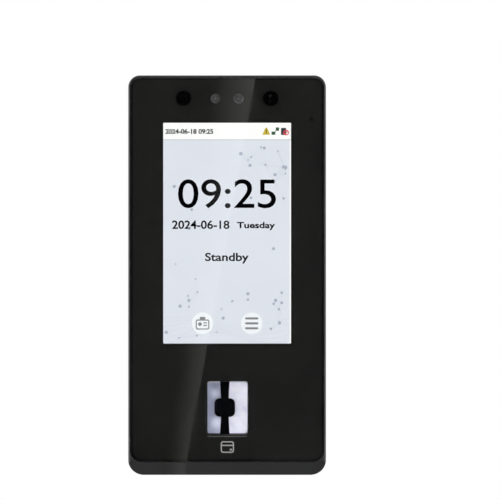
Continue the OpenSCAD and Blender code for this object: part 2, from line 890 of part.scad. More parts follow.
module case_seal() {
    color("black") slab(parting - seal_t + seal_fit, parting) seal_outline(0);
}

module case_screws() {
    color("silver") for (x = [-1, 1], z = [-1, 1]) difference() {
        union() {
            rod(x * case_screw_x, z * case_screw_z, case_seat - case_head_h, case_seat, case_head_r);
            rod(x * case_screw_x, z * case_screw_z, case_seat, case_seat + case_screw_l,
                case_screw_d / 2);
        }
        translate([x * case_screw_x, -case_seat + case_hex_depth, z * case_screw_z])
            rotate([-90, 0, 0]) cylinder(h = case_head_h, r = case_hex_r, $fn = 6);
    }
}

// The opening for the fingerprint window, with a gap under it
module finger_cut() {
    finger_outline(finger_fit);
    translate([0, -gap_inset - finger_gap]) finger_outline(-gap_inset);
}

// Cover glass, with openings for the fingerprint window and the microphone
module cover_glass() {
    color("black") difference() {
        bevelled(glass_half, glass_base, glass_top, glass_corner, glass_top_r, glass_back, body_d,
            0, glass_bevel);
        slab(glass_back - cut, body_d + cut) finger_cut();
        rod(mic_x, mic_z, glass_back - cut, body_d + cut, mic_hole / 2);
    }
}

module black_mask() {
    color("black") slab(mask_back, glass_back) difference() {
        glass_outline(mask_inset);
        translate([-screen_w / 2, screen_base]) square([screen_w, screen_h]);
        finger_cut();
        for (x = [-1, 1]) {
            translate([x * camera_x, camera_z]) circle(camera_window / 2);
            translate([x * led_x, camera_z]) circle(led_window / 2);
        }
        translate([mic_x, mic_z]) circle(mic_hole / 2);
    }
}

module glass_tape() {
    color("gray") slab(web_front, mask_back) difference() {
        glass_outline(tape_inset);
        translate([-opening_half, opening_base]) square([2 * opening_half, opening_top - opening_base]);
        finger_opening(sensor_web_gap);
        for (x = [-1, 1]) translate([x * camera_x, camera_z]) circle(camera_hole_r);
        light_hole(0);
        translate([mic_x, mic_z]) circle(mic_hole / 2);
    }
}

// Display: touch sensor, panel and backlight tray behind the glass
module touch_sensor() {
    color("lightgray") block(about(0, panel_half), [panel_base, panel_top], [touch_back, mask_back]);
}

module display_panel() {
    color("darkgray") block(about(0, panel_half), [panel_base, panel_top], [panel_back, touch_back]);
}

module backlight() {
    color("silver") difference() {
        block(about(0, tray_half), [panel_base - tray_wall, panel_top + tray_wall],
            [light_back, panel_back + panel_t / 2]);
        block(about(0, panel_half), [panel_base, panel_top], [panel_back, touch_back]);
        block(about(0, panel_half - tray_notch_side), [panel_base - 2 * tray_wall,
            panel_base + tray_notch_h], [panel_back - tray_notch_t, touch_back]);
    }
}

// Flat ribbon that follows a path of [distance from the wall, height] points
module ribbon(x, w, path) {
    back = [for (i = [len(path) - 1:-1:0]) [-path[i][0] + flex_t, path[i][1]]];
    front = [for (p = path) [-p[0], p[1]]];
    translate([x - w / 2, 0, 0]) rotate([90, 0, 90]) linear_extrude(w) polygon(concat(front, back));
}

module front_flex(plug, from) {
    plug_front = board_front + plug_t + flex_t;
    ribbon(plug[0], 2 * (plug[1] - plug_margin), [
        [from + flex_tail, panel_base], [from + flex_tail, flex_base + flex_bend_high],
        [plug_front, flex_base + flex_bend_low], [plug_front, flex_base]
    ]);
}

module display_flex() {
    color("chocolate") front_flex(front_connectors[0], panel_back);
}

module touch_flex() {
    color("chocolate") front_flex(front_connectors[1], touch_back);
}

// Camera board with both cameras and the infrared lights
module camera_board() {
    color("darkgreen") difference() {
        block(about(0, camera_board_half), about(camera_z, camera_board_rise),
            [camera_board_back, camera_board_front]);
        for (x = [-1, 1])
            rod(x * camera_boss_x, camera_z, camera_board_back - cut, camera_board_front + cut,
                board_screw_d / 2 + screw_fit);
    }
}

module camera(x) {
    barrel_base = camera_board_front + camera_holder_h;
    block(about(x, camera_holder), about(camera_z, camera_holder), [camera_board_front, barrel_base]);
    difference() {
        rod(x, camera_z, barrel_base, barrel_front, barrel_r_camera);
        rod(x, camera_z, mask_back - lens_depth, mask_back, barrel_r_camera - lens_rim);
        rod(x, camera_z, mask_back - iris_depth, mask_back, iris_r);
    }
}

module colour_camera() {
    color("black") camera(-camera_x);
}

module infrared_camera() {
    color("black") camera(camera_x);
}

module camera_gaskets() {
    color("dimgray") for (x = [-1, 1]) difference() {
        rod(x * camera_x, camera_z, mask_back - gasket_t, mask_back, barrel_r_camera + gasket_wall);
        rod(x * camera_x, camera_z, mask_back - gasket_t - cut, mask_back + cut,
            barrel_r_camera + gasket_fit);
    }
}

module infrared_lights() {
    color("whitesmoke") for (x = [-1, 1]) {
        rod(x * led_x, camera_z, camera_board_front, mask_back - led_sunk - led_d / 2, led_d / 2);
        translate([x * led_x, -mask_back + led_sunk + led_d / 2, camera_z]) sphere(led_d / 2);
    }
}

module light_baffle() {
    color("gray") difference() {
        slab(camera_board_front, mask_back) light_hole(baffle_gap);
        for (x = [-1, 1])
            rod(x * led_x, camera_z, camera_board_front - cut, mask_back + cut, baffle_bore);
    }
}

module camera_flex() {
    from = camera_board_back;
    edge = camera_z - camera_board_rise;
    color("chocolate") ribbon(0, camera_flex_w, [
        [from, edge + 2.4], [from, edge - 0.6],
        [board_back, board_top - 1], [board_back, board_top - 4]
    ]);
}

// Microphone capsule in its rubber boot
module microphone() {
    color("silver") rod(mic_x, mic_z, boot_back + boot_lip, mic_front, mic_d / 2);
}

module microphone_boot() {
    color("black") difference() {
        rod(mic_x, mic_z, boot_back, web_front, boot_r);
        rod(mic_x, mic_z, boot_back - cut, mic_front, mic_d / 2 + mic_fit);
        rod(mic_x, mic_z, boot_back, mask_back, mic_hole / 2);
    }
}

// Fingerprint sensor: a window over two reflectors that lean in to a dark aperture
module sensor_window() {
    color("lightblue") slab(window_back, window_front) finger_outline();
}

module sensor_seal() {
    color("black") slab(housing_front, mask_back) difference() {
        finger_opening(-finger_seal_inset);
        finger_outline(finger_seal_gap);
    }
}

module aperture_outline(inset) {
    translate([-aperture_shift, finger_z])
        rounded(aperture_w - 2 * inset, aperture_h - 2 * inset, aperture_corner - inset);
}

// The spine narrows from both ends towards the aperture
module spine_outline(inset) {
    end = spine_w / 2 - inset;
    neck = spine_neck / 2 - inset;
    reach = finger_h / 2;
    waist = aperture_h / 2;
    translate([-aperture_shift, finger_z]) polygon([
        [-end, -finger_h], [end, -finger_h], [end, -reach], [neck, -waist], [neck, waist],
        [end, reach], [end, finger_h], [-end, finger_h], [-end, reach], [-neck, waist],
        [-neck, -waist], [-end, -reach]
    ]);
}

module sensor_reflectors() {
    rim_w = finger_w / 2 - funnel_rim;
    rim_h = finger_h / 2 - funnel_rim;
    hole_w = aperture_w / 2 - aperture_lip;
    hole_h = aperture_h / 2 - aperture_lip;
    color("gainsboro") difference() {
        slab(funnel_back, window_back) finger_outline(-window_fit);
        intersection() {
            translate([0, 0, base]) linear_extrude(body_h)
                polygon([
                    [-rim_w, -window_back - funnel_cut], [rim_w, -window_back - funnel_cut],
                    [hole_w - aperture_shift, -funnel_back + funnel_cut],
                    [-hole_w - aperture_shift, -funnel_back + funnel_cut]
                ]);
            translate([-side, 0, finger_z]) rotate([90, 0, 90]) linear_extrude(body_w)
                polygon([
                    [-window_back - funnel_cut, -rim_h], [-window_back - funnel_cut, rim_h],
                    [-funnel_back + funnel_cut, hole_h], [-funnel_back + funnel_cut, -hole_h]
                ]);
        }
        slab(funnel_back - cut, window_back + cut) spine_outline(0);
    }
}

module sensor_aperture() {
    base_back = funnel_back - aperture_t;
    cap_back = funnel_back + aperture_step;
    color("black") {
        slab(base_back, funnel_back) finger_outline(-window_fit);
        slab(funnel_back - aperture_t / 2, cap_back + aperture_cap / 2)
            aperture_outline(aperture_lip + aperture_gap);
        slab(cap_back, cap_back + aperture_cap) aperture_outline(0);
        slab(funnel_back - aperture_t / 2, cap_back) intersection() {
            spine_outline(spine_gap);
            finger_outline(-window_fit - spine_gap);
        }
    }
}

module sensor_housing() {
    color("dimgray") difference() {
        slab(sensor_back, housing_front) finger_opening(0);
        slab(funnel_back - aperture_t, body_d) finger_outline(window_fit);
        block(about(0, finger_w / 2 - housing_ledge), about(finger_z, finger_h / 2 - housing_ledge),
            [sensor_back, funnel_back]);
        block(about(0, finger_w / 2), about(finger_z, finger_h / 2),
            [sensor_back - cut, sensor_back + small_board_t]);
    }
}

module sensor_board() {
    board_face = sensor_back + small_board_t;
    color("darkgreen") block(about(0, finger_w / 2 - board_fit), about(finger_z, finger_h / 2 - board_fit),
        [sensor_back, board_face]);
    color("black") block(about(-aperture_shift, sensor_chip_half), about(finger_z, sensor_chip_half),
        [board_face, board_face + sensor_chip_t]);
}

module sensor_flex() {
    color("chocolate") ribbon(0, sensor_flex_w, [
        [sensor_back, sensor_top - 4], [sensor_back, sensor_top + 0.3],
        [board_back, sensor_top + 1.5], [board_back, sensor_top + 4]
    ]);
}

// Card antenna round the sensor, with a ferrite sheet behind it
module antenna_ring(near, far, inset) {
    slab(near, far) difference() {
        translate([0, finger_z]) rounded(antenna_w - 2 * inset, antenna_h - 2 * inset, antenna_corner);
        finger_opening(antenna_window);
    }
}

module card_antenna() {
    color("darkgreen") antenna_ring(antenna_back, antenna_front, 0);
}

module ferrite_sheet() {
    color("dimgray") antenna_ring(antenna_back - ferrite_t, antenna_back, ferrite_inset);
}

// Main board and what it carries
module main_board() {
    color("darkgreen") difference() {
        slab(board_back, board_front) translate([0, (board_top + board_base) / 2])
            rounded(2 * board_half, board_top - board_base, board_corner);
        for (x = [-1, 1], z = [board_screw_base, board_screw_top])
            rod(x * board_screw_x, z, board_back - cut, board_front + cut, board_screw_d / 2 + screw_fit);
    }
}

module pan_screw(x, z, seat, shank) {
    cross = [seat - screw_head_h - cut, seat - screw_head_h + cross_depth];
    difference() {
        union() {
            rod(x, z, seat - screw_head_h, seat, screw_head_r);
            rod(x, z, seat, seat + shank, board_screw_d / 2);
        }
        block(about(x, cross_half_w), about(z, cross_half), cross);
        block(about(x, cross_half), about(z, cross_half_w), cross);
    }
}

module board_screws() {
    shank = web_back - board_back - 2 * pilot_gap;
    color("silver") {
        for (x = [-1, 1], z = [board_screw_base, board_screw_top])
            pan_screw(x * board_screw_x, z, board_back, shank);
        for (x = [-1, 1])
            pan_screw(x * camera_boss_x, camera_z, camera_board_back, shank);
        for (at = lower_screws) pan_screw(at[0], at[1], lower_back, shank);
    }
}

module processor_shield() {
    color("silver") difference() {
        block(about(0, shield_half_w), about(shield_z, shield_half_h),
            [board_back - shield_h, board_back]);
        block(about(0, shield_half_w - shield_t), about(shield_z, shield_half_h - shield_t),
            [board_back - shield_h + shield_t, board_back + cut]);
    }
}

module board_chips() {
    color("black") for (c = rear_chips)
        block(about(c[0], c[2]), about(c[1], c[3]), [board_back - c[4], board_back]);
    color("ivory") for (c = front_connectors)
        block(about(c[0], c[1]), [flex_base - plug_below, flex_base + plug_above],
            [board_front, board_front + plug_t]);
}

module relay() {
    color("royalblue") block(about(relay_x, relay_w / 2), about(relay_z, relay_l / 2),
        [floor_front + relay_gap, board_back]);
}

module capacitors() {
    color("silver") for (z = capacitor_heights) {
        rod(capacitor_x, z, floor_front + capacitor_gap, board_back - capacitor_foot, capacitor_r);
        block(about(capacitor_x, capacitor_r + capacitor_rim), about(z, capacitor_r + capacitor_rim),
            [board_back - capacitor_foot, board_back]);
    }
}

module coin_cell() {
    color("silver") rod(cell_x, cell_z, cell_front - cell_t, cell_front, cell_r);
}

module cell_holder() {
    color("black") difference() {
        block(about(cell_x, cell_r + holder_wall), about(cell_z, cell_r + holder_wall),
            [cell_front - cell_t - holder_lip, board_back]);
        rod(cell_x, cell_z, cell_front - cell_t - holder_lip - cut, cell_front, cell_r + holder_fit);
        block(about(cell_x, cell_r / 2), [cell_z + cell_r / 2, cell_z + cell_r + holder_wall + cut],
            [cell_front - cell_t - holder_lip - cut, cell_front]);
    }
}

// Network jack, with its mouth down into the bay
module network_jack() {
    bore_back = jack_back + jack_roof;
    color("silver") difference() {
        block(about(jack_x, jack_w / 2), [jack_base, jack_top], [jack_back, board_back]);
        block(about(jack_x, jack_bore_w / 2), [jack_base - cut, jack_base + jack_bore_l],
            [bore_back, bore_back + jack_bore_h]);
        block(about(jack_x, latch_w / 2), [jack_base - cut, jack_base + jack_bore_l - latch_stop],
            [bore_back - latch_h, bore_back + cut]);
    }
}

module jack_contacts() {
    floor_d = jack_back + jack_roof + jack_bore_h;
    color("gold") for (i = [0:contacts - 1])
        block(about(jack_x + (i - (contacts - 1) / 2) * contact_pitch, contact_w / 2),
            [jack_base + contact_start, jack_base + jack_bore_l],
            [floor_d - contact_lift - contact_t, floor_d - contact_lift]);
}

// Screw terminals: wires go up into the square holes, the clamp screws face the wall
module terminal_strip(x, poles, w) {
    difference() {
        block(about(x, w / 2), [terminal_base, terminal_top], [terminal_back, board_back]);
        for (i = [0:poles - 1]) {
            pole_x = x + (i - (poles - 1) / 2) * terminal_pitch;
            block(about(pole_x, terminal_pitch / 2 - wire_wall),
                [terminal_base - cut, terminal_base + wire_depth],
                [terminal_back + wire_near, terminal_back + wire_far]);
            rod(pole_x, clamp_z, terminal_back - cut, terminal_back + clamp_bore, clamp_r + clamp_fit);
        }
    }
}

module power_terminals() {
    color("darkgreen") terminal_strip(power_x, power_poles, power_w);
}

module signal_terminals() {
    color("seagreen") terminal_strip(signal_x, signal_poles, signal_w);
}

module clamp_row(x, poles) {
    for (i = [0:poles - 1]) {
        pole_x = x + (i - (poles - 1) / 2) * terminal_pitch;
        difference() {
            rod(pole_x, clamp_z, terminal_back + clamp_sunk, terminal_back + clamp_tip, clamp_r);
            block(about(pole_x, clamp_slot_half), about(clamp_z, 2 * clamp_r),
                [terminal_back, terminal_back + clamp_sunk + clamp_slot_depth]);
        }
    }
}

module clamp_screws() {
    color("silver") {
        clamp_row(power_x, power_poles);
        clamp_row(signal_x, signal_poles);
    }
}

// Tamper switch: a sprung plunger that reaches the wall through the plate
module tamper_switch() {
    color("dimgray") difference() {
        rod(tamper_x, tamper_z, switch_back, board_back, switch_r);
        rod(tamper_x, tamper_z, switch_back - cut, switch_back + switch_wall + cut,
            plunger_r + plunger_fit);
        rod(tamper_x, tamper_z, switch_back + switch_wall, spring_seat, flange_r + flange_fit);
    }
}

module tamper_plunger() {
    color("white") {
        rod(tamper_x, tamper_z, plunger_tip, flange_back + flange_t / 2, plunger_r);
        rod(tamper_x, tamper_z, flange_back, flange_front, flange_r);
        rod(tamper_x, tamper_z, flange_front - flange_t / 2, flange_front + plunger_stem, plunger_r / 2);
    }
}

module tamper_spring() {
    color("silver") difference() {
        rod(tamper_x, tamper_z, flange_front, spring_seat, flange_r - spring_gap);
        rod(tamper_x, tamper_z, flange_front - cut, spring_seat + cut,
            flange_r - spring_gap - spring_wall);
    }
}

// Speaker over the grille in the underside
module speaker() {
    color("dimgray") translate([speaker_x, -speaker_mid, chamber_base + speaker_gasket_t])
        linear_extrude(speaker_l) rounded(speaker_w, speaker_h, speaker_corner);
}

module speaker_gasket() {
    color("black") translate([speaker_x, -speaker_mid, chamber_base])
        linear_extrude(speaker_gasket_t) difference() {
            rounded(speaker_w, speaker_h, speaker_corner);
            rounded(speaker_w - 2 * speaker_gasket_w, speaker_h - 2 * speaker_gasket_w,
                speaker_corner / 2);
        }
}

// Lower board with the USB port and the reset switch
module lower_board() {
    color("darkgreen") difference() {
        union() {
            block([lower_board_left, lower_board_right], [lower_board_base, lower_board_step],
                [lower_back, lower_front]);
            block([lower_board_left, -sensor_half_w - 1], [lower_board_base, lower_board_top],
                [lower_back, lower_front]);
        }
        for (at = lower_screws)
            rod(at[0], at[1], lower_back - cut, lower_front + cut, board_screw_d / 2 + screw_fit);
    }
}

module lower_flex() {
    color("chocolate") ribbon(lower_flex_x, lower_flex_w, [
        [lower_back, lower_board_top - 3], [lower_back, lower_board_top + 1],
        [board_back, board_base - 1], [board_back, board_base + 3]
    ]);
}

module usb_port() {
    color("silver") difference() {
        block(about(usb_x, usb_w / 2), [usb_mouth, usb_mouth + usb_l], [usb_back, usb_front]);
        block(about(usb_x, usb_w / 2 - usb_shell_t), [usb_mouth - cut, usb_mouth + usb_l - usb_rear],
            [usb_back + usb_shell_t, usb_front - usb_shell_t]);
    }
}

module usb_tongue() {
    shell_face = usb_front - usb_shell_t;
    color("white") block(about(usb_x, usb_w / 2 - tongue_side),
        [usb_mouth + tongue_sunk, usb_mouth + usb_l - usb_rear],
        [shell_face - tongue_far, shell_face - tongue_near]);
}

module hinge_bar(half, r) {
    translate([usb_x - half, -hinge_depth, hinge_z]) rotate([0, 90, 0]) cylinder(h = 2 * half, r = r);
}

module usb_door() {
    color("black") difference() {
        union() {
            hinge_bar(door_half, barrel_r);
            hinge_bar(door_half + door_gap + pin_l, pin_r);
            block(about(usb_x, door_half), [base, base + door_t], [hinge_depth, door_front]);
        }
        post(usb_x, door_front + notch_out, base - cut, base + door_t + cut, notch_r);
    }
}

module reset_switch() {
    color("dimgray") difference() {
        block(about(reset_x, reset_body / 2), [reset_body_base, reset_body_base + reset_body_h],
            [lower_back - reset_body, lower_back]);
        post(reset_x, reset_mid, reset_body_base - cut, reset_stem_top + reset_travel + reset_gap,
            reset_r + reset_fit);
    }
}

module reset_button() {
    color("white") post(reset_x, reset_mid, reset_base, reset_stem_top, reset_r);
}

wall_plate();
lock_screw();
rear_cover();
front_frame();
case_seal();
case_screws();
cover_glass();
black_mask();
glass_tape();
touch_sensor();
display_panel();
backlight();
display_flex();
touch_flex();
camera_board();
colour_camera();
infrared_camera();
camera_gaskets();
infrared_lights();
light_baffle();
camera_flex();
microphone();
microphone_boot();
sensor_window();
sensor_seal();
sensor_reflectors();
sensor_aperture();
sensor_housing();
sensor_board();
sensor_flex();
card_antenna();
ferrite_sheet();
main_board();
board_screws();
processor_shield();
board_chips();
relay();
capacitors();
coin_cell();
cell_holder();
network_jack();
jack_contacts();
power_terminals();
signal_terminals();
clamp_screws();
tamper_switch();
tamper_plunger();
tamper_spring();
speaker();
speaker_gasket();
lower_board();
lower_flex();
usb_port();
usb_tongue();
usb_door();
reset_switch();
reset_button();
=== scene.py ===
# %% [markdown]
# # A wall-mounted fingerprint scanner terminal
# The terminal is a flat black housing with a glass front. Behind the glass lie a display, two
# cameras, two infrared lights and an optical fingerprint sensor. It hangs on a steel wall plate.
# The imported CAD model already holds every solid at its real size, so this file works on finishes
# and on the fine shapes that a light shows: rounded glass, lit pixels, lenses and threads.

# %% Load the frame
import math

import bmesh
import bpy
import numpy as np
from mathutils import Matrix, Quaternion, Vector
from mathutils.geometry import tessellate_polygon


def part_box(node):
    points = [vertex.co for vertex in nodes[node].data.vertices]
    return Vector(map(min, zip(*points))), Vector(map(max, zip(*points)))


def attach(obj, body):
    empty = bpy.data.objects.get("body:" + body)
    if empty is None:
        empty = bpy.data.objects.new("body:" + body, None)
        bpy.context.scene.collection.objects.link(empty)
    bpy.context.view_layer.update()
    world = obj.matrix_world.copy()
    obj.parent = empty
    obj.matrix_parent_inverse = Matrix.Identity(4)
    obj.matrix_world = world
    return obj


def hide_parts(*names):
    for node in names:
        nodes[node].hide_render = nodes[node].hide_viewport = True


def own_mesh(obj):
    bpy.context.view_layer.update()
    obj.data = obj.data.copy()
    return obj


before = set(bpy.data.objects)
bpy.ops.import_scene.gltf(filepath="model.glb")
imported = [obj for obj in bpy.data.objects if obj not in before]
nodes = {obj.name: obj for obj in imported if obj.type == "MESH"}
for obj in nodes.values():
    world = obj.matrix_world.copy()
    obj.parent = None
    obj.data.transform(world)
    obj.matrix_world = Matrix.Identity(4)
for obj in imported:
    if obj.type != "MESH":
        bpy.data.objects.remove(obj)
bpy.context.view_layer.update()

# %% [markdown]
# ## Measures
# Lengths are easier to read in millimetres, so every measure here is in millimetres and becomes
# metres only when a mesh is made. The wall plane is y = 0 and the front faces -Y, so a layer's
# place is written as its distance from the wall. The distances are read from the CAD nodes:
# typing them again would let the two models drift apart.

# %% Distances and outlines from the frame
MM = 0.001


def span(node):
    """Lowest and highest x, distance from the wall and z of a node, in millimetres."""
    low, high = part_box(node)
    return (low.x / MM, high.x / MM), (-high.y / MM, -low.y / MM), (low.z / MM, high.z / MM)


body_low = span("front_frame")[2][0]
glass_x, glass_d, glass_z = span("cover_glass")
mask_d = span("black_mask")[1]
panel_x, panel_d, panel_z = span("display_panel")
window_x, window_z = span("sensor_window")[::2]
print("glass front", glass_d[1], "mask front", mask_d[1], "panel front", panel_d[1])

# %% [markdown]
# ## Camera
# The terminal is seen square from the front, and its side walls don't show, so the lens is long
# and the camera far away. The object sits a little left of and below the middle of the picture.
# Moving the camera sideways by the same amount frames it without tilting or shifting the lens. The
# camera looks along +Y, which is a quarter turn about X from Blender's own downward look.

# %% Camera
PICTURE_PIXELS = 500
PIXELS_PER_MM = 2.354
MIDDLE_PIXEL = (227.1, 275.4)
LENS, SENSOR = 300.0, 36.0
picture_mm = PICTURE_PIXELS / PIXELS_PER_MM
camera_x = (PICTURE_PIXELS / 2 - MIDDLE_PIXEL[0]) / PIXELS_PER_MM
camera_z = (MIDDLE_PIXEL[1] - PICTURE_PIXELS / 2) / PIXELS_PER_MM
camera_away = picture_mm * LENS / SENSOR

camera_data = bpy.data.cameras.new("camera")
camera_data.lens, camera_data.sensor_width = LENS, SENSOR
camera = bpy.data.objects.new("camera", camera_data)
bpy.context.scene.collection.objects.link(camera)
camera.location = Vector((camera_x, -(glass_d[1] + camera_away), camera_z)) * MM
camera.rotation_euler = (math.radians(90), 0, 0)
bpy.context.scene.camera = camera
bpy.context.scene.view_settings.view_transform = "Standard"
print("camera is", round(camera_away), "mm in front of the glass")

# %% [markdown]
# ## Light
# The glass faces the camera, so it mirrors what stands in front of it. A white room would turn the
# black glass grey. So the room is dark towards the front and bright at the sides and behind, which
# leaves the glass black and lets the frame round it catch the light. The camera alone sees a white
# background. Broad lamps at the sides and above do the rest, as softboxes in a studio do.

# %% Shader nodes
def node(tree, kind, **inputs):
    """A shader node of that kind, with plain values on its sockets. A socket is given by its name, or
    by its number after an underscore."""
    made = tree.nodes.new("ShaderNode" + kind)
    for key, value in inputs.items():
        made.inputs[int(key[1:]) if key[1:].isdigit() else key].default_value = value
    return made


def wire(tree, *pairs):
    """Joins an output to an input for each pair of them."""
    for source, target in pairs:
        tree.links.new(source, target)


def math_node(tree, how, *values):
    """A Math node; each value is a number or another node's output."""
    made = tree.nodes.new("ShaderNodeMath")
    made.operation = how
    for socket, value in zip(made.inputs, values):
        if isinstance(value, (int, float)):
            socket.default_value = value
        else:
            tree.links.new(value, socket)
    return made.outputs[0]


print("node kinds are written short: MapRange stands for ShaderNodeMapRange")

# %% Room
# The y of a ray's direction, from -1 at the front to 1 behind, and the room's strength there.
FRONT, SIDE = (-0.9, 0.006), (0.1, 0.33)

room = bpy.data.worlds.new("room")
room.use_nodes = True
bpy.context.scene.world = room
tree = room.node_tree
tree.nodes.clear()
direction = node(tree, "TexCoord")
parts = node(tree, "SeparateXYZ")
front_to_side = node(tree, "MapRange", _1=FRONT[0], _2=SIDE[0], _3=FRONT[1], _4=SIDE[1])
studio = node(tree, "Background", Color=(0.96, 0.98, 1.0, 1))
backdrop = node(tree, "Background", Color=(1, 1, 1, 1), Strength=1.0)
rays = node(tree, "LightPath")
either = node(tree, "MixShader")
out = node(tree, "OutputWorld")
wire(tree,
     (direction.outputs["Generated"], parts.inputs[0]),
     (parts.outputs["Y"], front_to_side.inputs[0]),
     (front_to_side.outputs[0], studio.inputs["Strength"]),
     (rays.outputs["Is Camera Ray"], either.inputs[0]),
     (studio.outputs[0], either.inputs[1]),
     (backdrop.outputs[0], either.inputs[2]),
     (either.outputs[0], out.inputs["Surface"]))
print("room has", len(tree.nodes), "nodes")

# %% [markdown]
# The lamp above stands where the glass would mirror it to an eye below, and a mirrored lamp would
# whiten the whole front. So it lights the terminal and stays out of every mirror image.

# %% Softboxes
def softbox(name, place, size, power):
    """A rectangular lamp at a place in metres, turned to face the middle of the terminal's back and
    invisible to the camera. Its power is in watts."""
    lamp = bpy.data.lights.new(name, "AREA")
    lamp.shape, lamp.energy = "RECTANGLE", power
    lamp.size, lamp.size_y = size
    made = bpy.data.objects.new(name, lamp)
    bpy.context.scene.collection.objects.link(made)
    made.location = place
    made.rotation_euler = (-Vector(place)).to_track_quat("-Z", "Y").to_euler()
    made.visible_camera = False
    return made


softbox("left_softbox", (-0.85, -0.45, 0.15), (0.5, 0.9), 9)
softbox("right_softbox", (0.85, -0.45, 0.15), (0.5, 0.9), 9)
top_lamp = softbox("top_softbox", (0, -0.85, 0.85), (0.9, 0.5), 7)
top_lamp.visible_glossy = False
softbox("rear_softbox", (0.3, 0.9, 0.5), (0.9, 0.7), 5)

# %% [markdown]
# ## The bright streak in the glass
# A black glass front looks like glass only when it mirrors something. Here it is a tall slanted
# panel beside the camera, sharp on its right edge and fading to the left. A plane that only
# glossy rays see does it: it lights nothing and hides nothing. A mirror point on the glass at p
# sees the plane at c + (p - c) * (1 + d / D), where c is the camera, D its distance from the glass
# and d the distance of the plane, so the wanted edge on the glass gives the edge of the plane.

# %% Streak card
# The ends of the streak's sharp edge on the glass, and the width over which it fades.
STREAK_TOP, STREAK_LOW, STREAK_REACH = (12.3, 84.8), (-18.3, -84.7), 18.0
CARD_AWAY, CARD_SPARE = 500.0, 30
middle = np.array([camera_x, camera_z])
grown = 1 + CARD_AWAY / camera_away
edge_top, edge_low = (middle + (np.array(p) - middle) * grown for p in (STREAK_TOP, STREAK_LOW))
card_long = np.hypot(*(edge_top - edge_low))
along = (edge_top - edge_low) / card_long
aside = np.array([-along[1], along[0]])
card_low, card_top = edge_low - along * CARD_SPARE, edge_top + along * CARD_SPARE
card_wide = STREAK_REACH * grown


def glossy_card(name, points):
    """A plane through four points in metres that only glossy rays see. It returns the node tree of the
    plane's material."""
    mesh = bpy.data.meshes.new(name)
    mesh.from_pydata(points, [], [(0, 1, 2, 3)])
    made = bpy.data.objects.new(name, mesh)
    bpy.context.scene.collection.objects.link(made)
    made.visible_camera = made.visible_diffuse = False
    made.visible_transmission = made.visible_shadow = False
    glow = bpy.data.materials.new(name + "_glow")
    glow.use_nodes = True
    glow.node_tree.nodes.clear()
    mesh.materials.append(glow)
    print(name, [[round(v / MM) for v in p] for p in points])
    return glow.node_tree


def shine(tree, strength):
    """Ends a card's material: white light of that strength."""
    glow = node(tree, "Emission", Color=(1, 1, 0.98, 1))
    out = node(tree, "OutputMaterial")
    wire(tree, (strength, glow.inputs["Strength"]), (glow.outputs[0], out.inputs["Surface"]))


card_points = [card_low, card_top, card_top + aside * card_wide, card_low + aside * card_wide]
card_y = -(glass_d[1] + CARD_AWAY) * MM
tree = glossy_card("streak_card", [(x * MM, card_y, z * MM) for x, z in card_points])

# %% [markdown]
# Across the card, at t millimetres from the sharp edge as measured on the glass, the glow is
# peak * (1 - t / end) ^ power. Up the card all three change evenly, so the streak is soft and wide
# at the top and crisp at the foot.

# %% Streak glow
# Each of the three as its value at the foot and its change up to the top.
GLOW_END, GLOW_POWER, GLOW_PEAK = (9.0, 8.0), (1.75, -0.8), (0.6, 0.33)


def vector_math(tree, how, x, z):
    """A Vector Math node whose second vector is (x, 0, z)."""
    made = node(tree, "VectorMath", _1=(x, 0, z))
    made.operation = how
    return made


place = node(tree, "TexCoord")
from_edge = vector_math(tree, "SUBTRACT", edge_low[0] * MM, edge_low[1] * MM)
upward = vector_math(tree, "DOT_PRODUCT", *along / (card_long * MM))
across = vector_math(tree, "DOT_PRODUCT", *aside / (grown * MM))
wire(tree,
     (place.outputs["Object"], from_edge.inputs[0]),
     (from_edge.outputs[0], upward.inputs[0]),
     (from_edge.outputs[0], across.inputs[0]))
end, power, peak = (math_node(tree, "MULTIPLY_ADD", upward.outputs["Value"], change, foot)
                    for foot, change in (GLOW_END, GLOW_POWER, GLOW_PEAK))
gone = math_node(tree, "DIVIDE", across.outputs["Value"], end)
left = math_node(tree, "MAXIMUM", math_node(tree, "SUBTRACT", 1.0, gone), 0.0)
shine(tree, math_node(tree, "MULTIPLY", peak, math_node(tree, "POWER", left, power)))
print("streak glow has", len(tree.nodes), "nodes")

# %% [markdown]
# The chin slopes back under the glass, so its gloss mirrors what lies below. A second card there
# carries the streak on across the chin. It is level, with its sharp edge to the right.

# %% Chin card
CHIN_EDGE, CHIN_REACH, CHIN_PEAK, CHIN_POWER = -17.9, 10.0, 1.1, 1.3
CHIN_CARD_Z, CHIN_CARD_Y = -250.0, (-100, -10)
chin_grown = 1 + (body_low + glass_z[0] - 2 * CHIN_CARD_Z) / 2 / camera_away
chin_right, chin_left = (camera_x + (x - camera_x) * chin_grown
                         for x in (CHIN_EDGE, CHIN_EDGE - CHIN_REACH))
near_y, far_y = CHIN_CARD_Y
chin_points = ((chin_left, near_y), (chin_right, near_y), (chin_right, far_y), (chin_left, far_y))
tree = glossy_card("chin_card", [(x * MM, y * MM, CHIN_CARD_Z * MM) for x, y in chin_points])
place, parts = node(tree, "TexCoord"), node(tree, "SeparateXYZ")
fall = node(tree, "MapRange", _1=chin_left * MM, _2=chin_right * MM, _3=0.0, _4=1.0)
wire(tree, (place.outputs["Object"], parts.inputs[0]), (parts.outputs["X"], fall.inputs[0]))
shine(tree, math_node(tree, "MULTIPLY", math_node(tree, "POWER", fall.outputs[0], CHIN_POWER), CHIN_PEAK))

# %% [markdown]
# ## Finishes
# Real plastic, metal and rubber are never one flat colour. Moulded plastic has a fine spark-eroded
# grain, sheet steel has a direction from rolling, and every surface is a little uneven in gloss.
# Each finish below is one Principled shader with three noises on Object coordinates: one that
# shifts the colour, one that shifts the gloss and one that lifts the grain as bump. Object
# coordinates are in metres, so a grain size in millimetres turns into a scale in one division.

